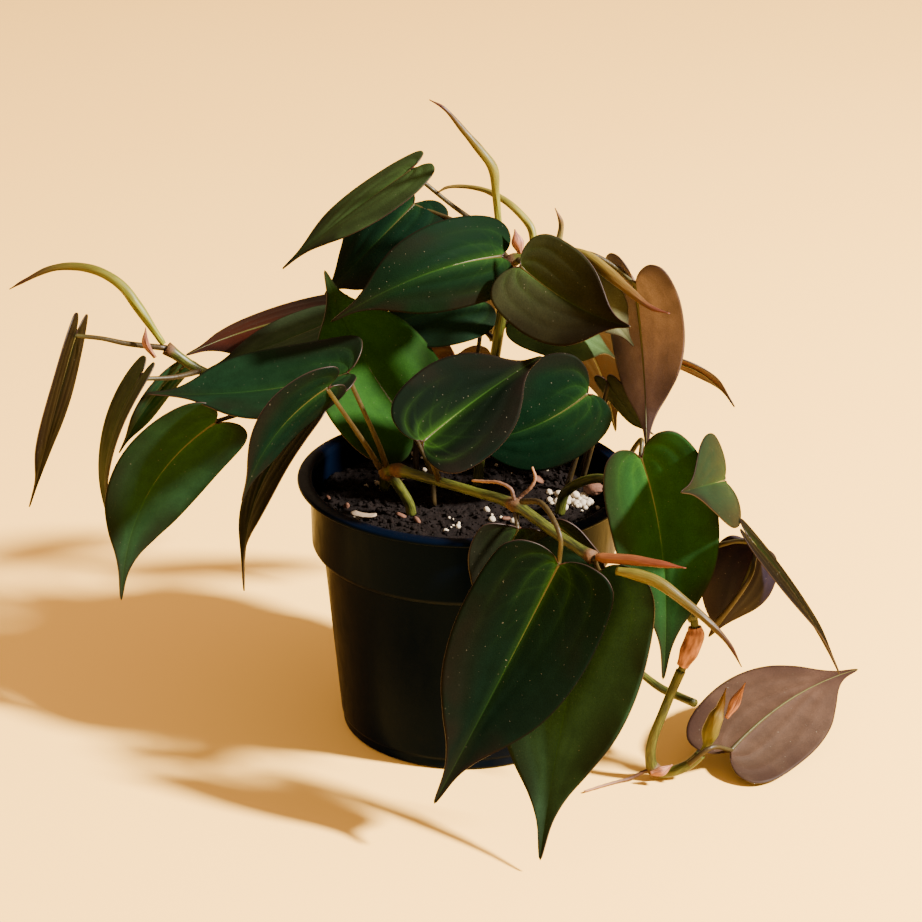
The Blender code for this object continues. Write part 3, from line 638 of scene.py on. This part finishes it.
def leaf_skin(name, tone, vein, rim, flush, vein_relief, shine, **constants):
    """The finish of one side of the leaves: tone is the attribute of each leaf's colour, with its painted
    light and shade.
    """
    made, sums, shader = material(name, **constants)
    veins, edge, u, v = vein_wire(sums)
    own = sums.own(tone)
    strength = sums.own(tone, 3)
    mottle = sums.grain(0.007, 3, 0.6)
    deep = sums.node("ShaderNodeHueSaturation", None, {"Value": 0.74, "Color": own})
    body = mottle.fade(0.3, 0.7, 0, 1).tint(deep, own)
    patches = sums.grain(0.024).fade(0.42, 0.62, 0.1, 1)
    flushed = sums.maths("MAXIMUM", u.fade(0.35, 1.0, 0, 0.75) * patches, v.fade(0.78, 1.0, 0, 0.85))
    body = (flushed * mottle.fade(0.1, 0.6, 0.6, 1)).tint(body, flush)
    lined = (veins * strength).tint(body, vein)
    fuzz = sums.grain(0.0004, 2)
    lined = (fuzz.fade(0.3, 0.7) * 0.22).tint(lined, (0, 0, 0))
    lined = (sums.grain(0.0007, 1).fade(0.76, 0.80, 0, 1) * 0.4).tint(lined, linear(110, 104, 88))
    wear(shader,
         Base_Color=(edge * 0.4).tint(lined, rim),
         Roughness=(mottle * 0.7 + fuzz * 0.4).fade(0.2, 0.8, *shine),
         Normal=relief(fuzz * 0.2 + mottle * 0.5 + veins * vein_relief, 0.0003, 0.8))
    return made


leaf_top = leaf_skin("velvet_top", "top_tone", linear(52, 90, 26), linear(24, 11, 10),
                     linear(17, 9, 7), -1.0, (0.60, 0.75), Specular_IOR_Level=0.035,
                     Specular_Tint=(0.4, 0.9, 0.6, 1))
leaf_under = leaf_skin("red_underside", "under_tone", linear(84, 46, 32), linear(34, 16, 12),
                       linear(28, 12, 9), 1.0, (0.50, 0.62), Specular_IOR_Level=0.08)
leaf_rim, sums, shader = material("leaf_rim", Roughness=0.5, Specular_IOR_Level=0.3)
wear(shader, Base_Color=sums.grain(0.01).tint(linear(38, 16, 12), linear(30, 22, 13)))

stalk_skin, sums, shader = material("stalk_skin", Specular_IOR_Level=0.25)
ripe = sums.own("along", 2) + (sums.grain(0.008) - 0.5) * 0.9
wear(shader,
     Base_Color=ripe.fade(0.1, 1.0, 0, 1).tint(linear(42, 32, 13), linear(60, 58, 22)),
     Roughness=sums.grain(0.002).fade(0.3, 0.7, 0.38, 0.55),
     Normal=relief(sums.grain(0.0006, 2, 0.5, (1, 1, 0.4)), 0.00012))


def grow_leaf(name, leaf):
    """Makes a leaf's blade, its stalk and its midrib, to stand for the CAD node of this name."""
    seed = sum(ord(c) * (i + 3) for i, c in enumerate(name))
    at = blade_surface(leaf, Waves(seed))
    bm = bmesh.new()
    flat = bm.loops.layers.uv.new("flat")
    blade = bm.loops.layers.uv.new("blade")
    top_tone = bm.verts.layers.float_color.new("top_tone")
    under_tone = bm.verts.layers.float_color.new("under_tone")
    marks = {}
    for vert, f, v in cloth(bm, BLADE_ACROSS, BLADE_ALONG):
        u = 2 * f - 1
        point, _, (x, y) = at(u, v)
        marks[vert] = (u, v, x * MM, y * MM)
        vert.co = point * MM
        # Each side's colour goes from the stalk's to the tip's, painted light and shade included.
        tip_share = min(max(v ** 1.3 + 0.25 * u * (1 - v), 0), 1)
        for layer, tones, shade in ((top_tone, leaf.top, TOP_SHADE), (under_tone, leaf.under, UNDER_SHADE)):
            near, far = (Vector(linear(*c)) * shade for c in tones)
            vert[layer] = (*(near * (1 - tip_share) + far * tip_share), leaf.veins)
    for face in bm.faces:
        for loop in face.loops:
            u, v, x, y = marks[loop.vert]
            loop[blade].uv = (u, v)
            loop[flat].uv = (x, y)
    bmesh.ops.remove_doubles(bm, verts=bm.verts, dist=1e-6)
    upward = at(0, 0.5)[1]
    if sum(f.normal.dot(upward) for f in bm.faces) < 0:
        bmesh.ops.reverse_faces(bm, faces=bm.faces)
    skin = piece("blade" + name[4:], bm, leaf_top, leaf_under, leaf_rim)
    wall = skin.modifiers.new("wall", "SOLIDIFY")
    wall.thickness = BLADE_THICKNESS * MM
    wall.offset = -1
    wall.material_offset = 1
    wall.material_offset_rim = 2
    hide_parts(name)
    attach(skin, "root")

    base, base_up, _ = at(0, 0.0)
    route = [Vector(q) for q in leaf.petiole]
    joins = [q for path in vine_paths for q in path if (q - route[0]).length < STALK_REACH]
    if joins:
        route[0] = min(joins, key=lambda q: (q - route[0]).length)
    under = [at(0, k / 16) for k in range(1, 17)]
    rib = [p - n * (BLADE_THICKNESS * 0.9) for p, n, _ in under]
    way = smooth_path(route + [base - base_up * 0.7], 6) + rib
    joint = len(way) - len(rib)
    bm = bmesh.new()

    def stalk_radius(k):
        if k < joint:
            return STALK_RADIUS * (1.25 - 0.35 * min(1, k / joint * 1.6))
        return STALK_RADIUS * 0.75 * (1 - (k - joint) / len(rib)) ** 0.8 + 0.05

    tube(bm, way, stalk_radius, 12)
    stalk = piece("stalk" + name[4:], bm, stalk_skin)
    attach(stalk, "root")


# --- The front leaves --------------------------------------------------------------------------------
# The leaves of the vine that leans over the front rim. Two big ones hang down before the pot, a third
# hangs behind them, and a small folded one lies on the rim.
FRONT_LEAVES = {
    "leaf_front_left": Leaf((28, -79, 91), (-8, -94, 18), (0, -1, 0.2), 22, 18, 2, -5, -1, 0.45,
        ((17, -60, 103), (23, -69, 106), (28, -80, 101)),
        ((31, 65, 45), (27, 56, 39)), ((120, 70, 55), (100, 55, 45)), 0.6),
    # Its top colours are painted light: much paler than leaf_front_left's, since the key lamp only grazes
    # this blade.
    "leaf_front_right": Leaf((40, -73, 86), (24, -104, 5), (-0.5, -0.75, 0.4), 26, 15, 3, -6, 5, 0.6,
        ((39, -77, 91),),
        ((108, 174, 121), (130, 200, 140)), ((150, 96, 74), (140, 84, 64)), 0.75),
    "leaf_front_behind": Leaf((16, -63, 95.2), (2, -69, 69), (0.4, -0.9, 0), 14, 12, 1, -2, -2, 0.4,
        ((14.5, -57, 99.5),),
        ((78, 87, 60), (67, 65, 46)), ((120, 66, 48), (110, 60, 46)), 0.4),
    "leaf_front_rim": Leaf((28, -60, 95), (46, -68, 76), (-0.7, -0.6, -0.4), 9, 14, 2, -3, 3, 1,
        ((27, -66, 97), (27, -63, 97)),
        ((34, 56, 33), (36, 60, 36)), ((120, 66, 48), (110, 60, 46)), 0.9),
}
for name, leaf in FRONT_LEAVES.items():
    grow_leaf(name, leaf)

# --- The leaves over the soil ------------------------------------------------------------------------
# The leaves from the front vine's lowest node and from the soil itself: broad ones to the left and in
# the middle, and a bright young one that stands up behind them.
CENTRE_LEAVES = {
    "leaf_left_broad": Leaf((-37, -30, 131.8), (-99, -24, 122), (-0.2, -0.3, 0.9), 19, 24, 5, -4, 1, 0.7,
        ((-26, -21, 98), (-27, -25, 106), (-31, -28, 117)),
        ((69, 124, 77), (52, 99, 62)), ((96, 54, 42), (84, 48, 40)), 0.6),
    "leaf_left_near": Leaf((-42, -51, 135), (-67, -61, 102), (0.6, -0.7, -0.4), 12, 8, 3, -2, 4, 1,
        ((-27, -23, 98), (-30, -33, 108), (-36, -43, 122)),
        ((29, 79, 55), (24, 66, 46)), ((96, 54, 42), (84, 48, 40)), 0.4),
    "leaf_centre": Leaf((-13, -40, 114), (23, -18, 134), (0.1, -0.8, 0.6), 18, 20, 2, 0, -1, 0.7,
        ((-9, -36, 100), (-10, -38, 105)),
        ((28, 42, 25), (24, 35, 22)), ((120, 70, 52), (110, 62, 48)), 1),
    "leaf_centre_upright": Leaf((-17, -8, 105), (-45, 2, 154), (0.4, -0.8, 0.3), 21, 8, 1, -5, -1, 0.9,
        ((-10, -8, 79), (-11, -8, 90)),
        ((96, 176, 66), (104, 188, 70)), ((120, 90, 60), (120, 90, 60)), 0.5),
    "leaf_centre_right": Leaf((38, -6, 117), (-4, -16, 104), (0.3, -1, 0), 19, 2, 4, 3, -3, 0.7,
        ((33, 8, 79), (37, 2, 100)),
        ((34, 85, 51), (27, 75, 45)), ((120, 70, 52), (110, 62, 48)), 0.6),
}
for name, leaf in CENTRE_LEAVES.items():
    grow_leaf(name, leaf)

# --- The upper leaves --------------------------------------------------------------------------------
# The leaves of the standing vine, which spread at its two top nodes. One is turned, so that its red
# underside shows.
UPPER_LEAVES = {
    "leaf_upper_front": Leaf((10, -5, 162), (-42, -26, 147), (0.3, -0.9, 0.2), 14, 0, 3, 8, 5, 0.7,
        ((12.5, 1, 157), (10, -3, 160.5)),
        ((25, 65, 34), (30, 69, 38)), ((120, 70, 52), (110, 62, 48)), 0.55),
    "leaf_upper_right": Leaf((16, -12, 161), (49, -34, 150), (-0.3, -0.9, 0.3), 16, 14, 1, -4, 3, 0.6,
        ((15.5, 1, 159), (16.5, -5.5, 160)),
        ((131, 144, 96), (84, 56, 34)), ((120, 66, 48), (100, 56, 44)), 0.4),
    "leaf_upper_right_back": Leaf((34, 4, 150), (52, -8, 134), (0.2, -0.7, 0.6), 9, 12, 1, 2, 0, 0.8,
        ((26, 0, 161.7), (30, 4, 157)),
        ((255, 255, 178), (255, 255, 178)), ((120, 80, 52), (110, 70, 48)), 0.6),
    "leaf_right_turned": Leaf((52, -2, 153), (57, -14, 101), (0.7, 0.7, -0.1), 16, 9, 0, 6, -4, 1.1,
        ((28, 0, 163), (38, 1, 161), (46, 0, 157)),
        ((60, 84, 48), (50, 74, 44)), ((255, 226, 214), (250, 206, 200)), 0.5),
    "leaf_top_left": Leaf((-19, 22, 181), (-59, 12, 151), (-0.6, -0.2, 0.8), 15, 7, 3, 1, 0, 1.1,
        ((12, 3, 160), (4, 16, 164), (-7, 21, 171)),
        ((158, 204, 118), (139, 180, 110)), ((150, 92, 60), (120, 72, 50)), 0.45),
    "leaf_top_left_back": Leaf((-18, 40, 164), (-47, 38, 133), (-0.5, -0.6, 0.6), 16, 6, 2, 6, -5, 0.8,
        ((13, 6, 156), (2, 26, 160)),
        ((44, 95, 66), (41, 85, 59)), ((96, 54, 42), (84, 48, 40)), 0.35),
    "leaf_middle_left": Leaf((4, 16, 140), (-32, 24, 124), (-0.1, -0.7, 0.7), 14, 10, 2, 4, 0, 0.8,
        ((9, 8, 127), (5, 13, 132)),
        ((71, 121, 84), (65, 109, 76)), ((96, 54, 42), (84, 48, 40)), 0.5),
    "leaf_middle_right": Leaf((16, 12, 136), (48, 24, 118), (0.2, -0.6, 0.8), 13, 10, 2, 4, 0, 0.8,
        ((11, 7, 132), (13, 10, 136)),
        ((183, 244, 148), (170, 222, 136)), ((96, 54, 42), (84, 48, 40)), 0.5),
}
for name, leaf in UPPER_LEAVES.items():
    grow_leaf(name, leaf)

# --- The left leaves ---------------------------------------------------------------------------------
# The leaves of the vine that reaches out to the left. They hang at every angle, some edge on and some
# turned to show the underside.
LEFT_LEAVES = {
    "leaf_left_outer": Leaf((-123, -4, 133), (-139, -8, 76), (0.9, -0.2, -0.2), 14, 8, 2, 1, 4, 1,
        ((-96, 0, 129), (-107, -2, 130), (-115, -3, 132)),
        ((54, 23, 10), (49, 19, 9)), ((110, 70, 48), (96, 58, 40)), 0.08),
    "leaf_left_edge_on": Leaf((-102, -16, 124), (-111, -20, 72), (-0.9, -0.3, 0.2), 10, 15, 2, 7, -2, 0.9,
        ((-84, -1, 120), (-92, -10, 122)),
        ((193, 205, 143), (177, 187, 130)), ((70, 46, 34), (62, 40, 30)), 0.2),
    "leaf_left_small": Leaf((-92, 6, 118), (-111, 2, 91), (0.7, -0.5, -0.4), 9, 14, 2, -1, 1, 1,
        ((-84, 2, 121), (-88, 6, 121)),
        ((87, 191, 123), (78, 161, 105)), ((96, 58, 42), (84, 50, 40)), 0.5),
    "leaf_left_hanging": Leaf((-78, -26, 113), (-108, -30, 54), (0.4, -0.9, 0), 16, 12, 3, -6, 6, 0.6,
        ((-62, -2, 114), (-68, -14, 113)),
        ((81, 143, 92), (91, 154, 99)), ((120, 80, 54), (110, 70, 50)), 0.6),
    "leaf_left_turned": Leaf((-46, 22, 132), (-90, 12, 121), (0.2, 0.3, -0.9), 15, 16, 0, 3, -7, 0.9,
        ((-38, 3, 107), (-35, 13, 119), (-39, 20.5, 130)),
        ((50, 70, 42), (50, 70, 42)), ((65, 19, 4), (95, 36, 11)), 0.3),
    "leaf_left_behind": Leaf((-45, 8, 134), (-83, 2, 120), (-0.3, -0.2, 0.9), 12, 14, 2, 0, 0, 1,
        ((-50, -1, 112), (-46, 2, 124)),
        ((152, 191, 133), (139, 162, 113)), ((96, 54, 42), (84, 48, 40)), 0.4),
    "leaf_left_dark": Leaf((-48.6, -20, 113.8), (-69.6, -28, 57), (-0.9, -0.2, 0.4), 15, 9, 2, 6, 4, 1,
        ((-44, -2, 109), (-45, -8, 114)),
        ((9, 7, 6), (8, 7, 5)), ((84, 48, 38), (76, 44, 36)), 0.4),
}
for name, leaf in LEFT_LEAVES.items():
    grow_leaf(name, leaf)

# --- The right leaves --------------------------------------------------------------------------------
# The leaves of the vine that trails over the right rim, down to the one that lies on the surface that
# the pot stands on.
RIGHT_LEAVES = {
    "leaf_right_hanging": Leaf((53, -51, 114), (62, -58, 43), (0.3, -0.9, 0.1), 19, 25, 1, -6, -6, 0.9,
        ((46, -27, 97), (50, -36, 108), (53, -46, 118)),
        ((86, 170, 84), (76, 148, 74)), ((100, 58, 44), (90, 50, 40)), 0.85),
    "leaf_right_small": Leaf((45, 10, 115), (60, 5, 99), (-0.6, -0.6, -0.3), 7, 12, 2, 0, 2, 1,
        ((38, 14, 79), (42, 8, 100)),
        ((255, 255, 178), (222, 255, 178)), ((100, 58, 44), (90, 50, 40)), 0.5),
    "leaf_right_behind": Leaf((60, 12, 123), (86, 8, 108), (0.4, 0.5, 0.8), 9, 10, 2, 4, 0, 1,
        ((38, 22, 79), (46, 20, 106)),
        ((84, 124, 56), (74, 110, 50)), ((176, 84, 52), (150, 70, 46)), 0.6),
    "leaf_right_sideways": Leaf((80, -34, 100), (64, -72, 112), (0.9, -0.2, 0.4), 16, 20, 4, 2, 0, 1,
        ((62, -34, 79), (68, -35, 94), (74, -33, 99)),
        ((80, 117, 76), (73, 105, 69)), ((96, 88, 60), (130, 84, 70)), 0.4),
    "leaf_right_narrow": Leaf((88, -48, 86), (117, -54, 44), (0.8, 0, 0.6), 11, 16, 3, 2, 0, 1,
        ((65, -37, 66), (74, -42, 79), (82, -47, 85)),
        ((54, 33, 3), (46, 22, 3)), ((92, 60, 36), (80, 50, 32)), 0.2),
    "leaf_right_underside": Leaf((90, -38, 77), (77, -39, 49), (-0.3, 0.9, 0.1), 13, 14, 0, -4, -1, 0.8,
        ((77.5, -45.5, 55.5), (82, -48, 63), (88, -47, 73)),
        ((50, 70, 42), (50, 70, 42)), ((50, 43, 68), (42, 33, 59)), 0.35),
    "leaf_on_the_surface": Leaf((86, -37, 7.4), (132, 14, 12), (-0.2, 0.35, -0.9), 19, 5, 1, -2, 3, 0.8,
        ((72, -47, 8), (79, -47, 14)),
        ((50, 70, 42), (50, 70, 42)), ((113, 86, 65), (126, 91, 71)), 0.25),
}
for name, leaf in RIGHT_LEAVES.items():
    grow_leaf(name, leaf)

# --- The far leaves ----------------------------------------------------------------------------------
# The leaves at the back of the pot, on stalks that rise from the soil and hang away from the middle.
FAR_LEAVES = {
    "leaf_far_left": Leaf((-26, 44, 124), (-46, 82, 74), (-0.4, 0.8, 0.4), 17, 12, 3, 5, 0, 0.9,
        ((-16, 16, 79), (-18, 26, 108)),
        ((66, 104, 50), (58, 92, 46)), ((120, 72, 54), (110, 64, 48)), 0.6),
    "leaf_far_middle": Leaf((6, 46, 134), (8, 92, 98), (0.1, 0.6, 0.8), 18, 12, 3, 5, 2, 0.9,
        ((2, 20, 79), (3, 26, 112)),
        ((50, 80, 46), (44, 70, 42)), ((120, 72, 54), (110, 64, 48)), 0.5),
    "leaf_far_right": Leaf((34, 44, 122), (52, 80, 70), (0.4, 0.8, 0.4), 16, 12, 3, 5, 0, 0.9,
        ((20, 22, 79), (24, 28, 106)),
        ((44, 70, 42), (40, 62, 37)), ((120, 72, 54), (110, 64, 48)), 0.5),
    "leaf_far_low": Leaf((-4, 60, 104), (-8, 78, 46), (0, 1, 0.3), 15, 14, 2, 4, -2, 0.9,
        ((-6, 30, 79), (-5, 44, 102)),
        ((72, 112, 52), (60, 98, 48)), ((120, 72, 54), (110, 64, 48)), 0.6),
}
for name, leaf in FAR_LEAVES.items():
    grow_leaf(name, leaf)

# --- The rolled leaves ------------------------------------------------------------------------------
# New leaves still wound into pointed scrolls, one edge over the other, yellow-green at the foot and
# flushed pink-brown towards the tip. One opens at the end of each vine, and a fat bud at the floor.
Scroll = namedtuple("Scroll", "points radii foot tip")   # as a stem's, and the colours of its ends
SCROLLS = {
    "rolled_leaf_left": Scroll(((-97.5, 0.5, 131.5), (-104, 2, 141), (-109, 4, 147), (-116, 6, 151),
                                (-124, 8, 152), (-132, 8, 151), (-140, 8, 147), (-145, 8, 144)),
                               (0.75, 1.2, 1.15, 1, 0.9, 0.7, 0.4, 0.12), (186, 190, 60), (84, 42, 28)),
    "rolled_leaf_top": Scroll(((10, 5, 162), (9, 7, 169), (8, 8, 178), (7, 8, 186), (3, 8, 192),
                               (-2, 8, 198), (-8, 8, 205), (-13, 8, 208)),
                              (0.7, 0.75, 0.85, 1.15, 0.95, 0.7, 0.4, 0.12), (190, 192, 66), (92, 44, 32)),
    "shoot_top_curled": Scroll(((20, 3.5, 163), (19, 6, 168), (14, 9, 173), (9, 13, 175.5), (4, 17, 176.5),
                                (-2, 20, 176.5), (-7, 20.5, 176), (-10, 20, 174.5)),
                               (0.8, 0.9, 0.85, 0.75, 0.55, 0.45, 0.35, 0.2), (200, 196, 72), (150, 120, 60)),
    "shoot_top_short": Scroll(((28, 3, 165), (28.5, 4, 170), (26.5, 4, 175)),
                              (0.7, 0.6, 0.12), (150, 150, 70), (150, 110, 70)),
    "rolled_leaf_right": Scroll(((31, -3, 163.5), (37, -10, 163.5), (43, -17, 161), (49, -24, 158),
                                 (55, -30, 155), (61, -33, 154)),
                                (0.9, 1.3, 1.35, 1, 0.6, 0.12), (186, 168, 62), (120, 62, 44)),
    "rolled_leaf_front": Scroll(((41.5, -79.5, 93.6), (49, -82.5, 94.5), (57, -86, 95), (65, -89, 95)),
                                (1.05, 1.1, 0.8, 0.12), (176, 110, 60), (150, 70, 44)),
    "rolled_leaf_front_low": Scroll(((45, -83, 91), (52, -86, 91), (58, -88.5, 89.5), (65, -91, 85),
                                     (72, -94, 80), (78, -96, 74), (82, -97, 67)),
                                    (0.9, 1.25, 1.2, 1, 0.8, 0.5, 0.12), (150, 140, 52), (74, 22, 18)),
    "bud_right": Scroll(((77.6, -44, 13), (78.5, -44, 18), (80, -44, 23), (81.5, -43.5, 27), (83, -43, 33)),
                        (0.9, 1.9, 1.7, 0.9, 0.12), (140, 146, 40), (150, 110, 50)),
}
OVERLAP = 0.16               # how far the free edge stands out, over the radius
SCROLL_REACH = 6             # a scroll's foot this near a vine's path is drawn out to it
SCROLL_SHADE = 0.32


def rolled_edge(g, k):
    """The scroll's section: a spiral of one turn, whose step winds slowly round as the scroll goes on."""
    turn = (g + 0.012 * k) % 1
    return 1 - OVERLAP * turn + OVERLAP * max(0, 1 - (1 - turn) / 0.05) * 0.9


scroll_skin, sums, shader = material("rolled_leaf_skin", Specular_IOR_Level=0.2, Subsurface_Weight=0.06,
                                     Subsurface_Scale=0.002)
nerves = lengthways(sums, 0.1, 1800, 3)
own = sums.own("scroll_tone")
dark = sums.node("ShaderNodeHueSaturation", None, {"Value": 0.7, "Color": own})
wear(shader,
     Base_Color=nerves.fade(0.35, 0.65, 0, 1).tint(dark, own),
     Roughness=nerves.fade(0.3, 0.7, 0.36, 0.5),
     Normal=relief(nerves, 0.0002, 0.7))
for name, scroll in SCROLLS.items():
    points, radii = scroll.points, scroll.radii
    start = Vector(points[0])
    node = min((q for path in vine_paths for q in path), key=lambda q: (q - start).length)
    if (node - start).length < SCROLL_REACH:
        points, radii = (node.lerp(start, 0.35), *points), (radii[0] * 0.8, *radii)
    bm = bmesh.new()
    tube(bm, smooth_path(points), lambda k: STEM_RADIUS * eased(radii, k) * 1.04, 40, rolled_edge)
    tone = bm.verts.layers.float_color.new("scroll_tone")
    along = bm.verts.layers.float["along"]
    foot, tip = (Vector(linear(*c)) * SCROLL_SHADE for c in (scroll.foot, scroll.tip))
    for vert in bm.verts:
        f = min(max(vert[along] * 1.3 - 0.15, 0), 1)
        vert[tone] = (*(foot * (1 - f) + tip * f), 1)
    roll = piece("scroll_" + name, bm, scroll_skin)
    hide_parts(name)
    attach(roll, "root")

# --- The sheaths ------------------------------------------------------------------------------------
# Dry, papery, salmon-coloured sheaths that wrapped each new leaf and were left behind at the nodes.
# Each is a thin curled strip, open down one side, creased lengthways and torn to a point.
SHEATH_THICKNESS = 0.16
Strip = namedtuple("Strip", "points radii open_to")      # as a stem's, and the open side's share of a turn
SHEATHS = {
    "sheath_left": Strip(((-98, -4, 126.5), (-100.5, -3.8, 131), (-101, -3.2, 136)), (0.6, 1.1, 0.15), 0.3),
    "sheath_top": Strip(((16, -2.5, 162.5), (15, -3, 166), (14, -2.5, 170)), (0.7, 1.3, 0.15), 0.2),
    "sheath_right": Strip(((72.4, -40.6, 53), (72.6, -41, 50), (71, -41.6, 45), (69, -42.2, 40)),
                          (1.4, 1.9, 1.9, 1.2), 0.08),
    "sheath_bud": Strip(((83.5, -44, 23), (86, -43.5, 28), (89, -43, 35)), (0.5, 1.1, 0.12), 0.3),
    "sheath_low": Strip(((60, -47, 4.5), (63.5, -47, 5.5), (67, -46.8, 7.5)), (0.6, 1.2, 0.15), 0.35),
}
papery, sums, shader = material("dry_sheath", Roughness=0.62, Specular_IOR_Level=0.35)
creases = lengthways(sums, 0.15, 1500, 4)
wear(shader,
     Base_Color=creases.fade(0.3, 0.7, 0, 1).tint(linear(92, 52, 36), linear(166, 112, 84)),
     Normal=relief(creases, 0.0004, 0.9))
for name, strip in SHEATHS.items():
    path = smooth_path(strip.points)
    ways = frames(path, Vector((0.3, 1, 0.2)).cross(path[1] - path[0]).normalized())
    bm = bmesh.new()
    flat = bm.loops.layers.uv.new("flat")
    places = {}
    for vert, f, g in cloth(bm, 18, len(path) - 1):
        k = round(g * (len(path) - 1))
        centre, walked, side, over = ways[k]
        angle = math.tau * (strip.open_to + f * (1 - 2 * strip.open_to)) + 1.2
        reach = STEM_RADIUS * eased(strip.radii, k)
        reach *= 1 + 0.05 * math.sin(9 * angle) + 0.25 * abs(2 * f - 1) ** 3 * g
        places[vert] = (walked * MM, f * 6 * MM)
        vert.co = (centre + side * reach * math.cos(angle) + over * reach * math.sin(angle)) * MM
    for face in bm.faces:
        for loop in face.loops:
            loop[flat].uv = places[loop.vert]
    curl = piece("papery_" + name, bm, papery)
    wall = curl.modifiers.new("wall", "SOLIDIFY")
    wall.thickness = SHEATH_THICKNESS * MM
    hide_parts(name)
    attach(curl, "root")

# --- The air roots ----------------------------------------------------------------------------------
# Thin brown roots that grow from the nodes into the air, with paler growing tips. The lowest creeps
# along the surface that the pot stands on.
ROOTS = {
    "air_root_front_left": Stem(((15, -56, 100.5), (14.5, -56.5, 103), (13.5, -56, 105.5), (10, -54, 106.5),
                                 (6, -51, 105.5), (2, -48, 104.5)), (0.45, 0.4, 0.38, 0.35, 0.32, 0.25)),
    "air_root_front_right": Stem(((16, -55.5, 101), (17, -55, 102.8), (19.5, -55.5, 105.5), (21, -55, 108.5),
                                  (20, -54.5, 112)), (0.45, 0.4, 0.36, 0.32, 0.22)),
    "air_root_low": Stem(((60, -44, 4), (57.5, -44, 3), (54, -44.5, 1.2), (50, -46, 0.8), (45, -49, 0.8),
                          (39, -53, 0.8)), (0.42, 0.4, 0.38, 0.34, 0.3, 0.22)),
}
root_skin, sums, shader = material("root_skin", Roughness=0.7)
old = sums.grain(0.001).tint(linear(48, 27, 16), linear(76, 46, 29))
wear(shader,
     Base_Color=sums.own("along", 2).fade(0.3, 1, 0, 1).tint(old, linear(122, 86, 58)),
     Normal=relief(sums.grain(0.0004), 0.0001))
for name, root in ROOTS.items():
    bm = bmesh.new()
    tube(bm, smooth_path(root.points),
         lambda k: STEM_RADIUS * eased(root.radii, k) * (1 + 0.08 * math.sin(1.7 * k)), 10)
    thread = piece("thread_" + name, bm, root_skin)
    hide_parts(name)
    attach(thread, "root")
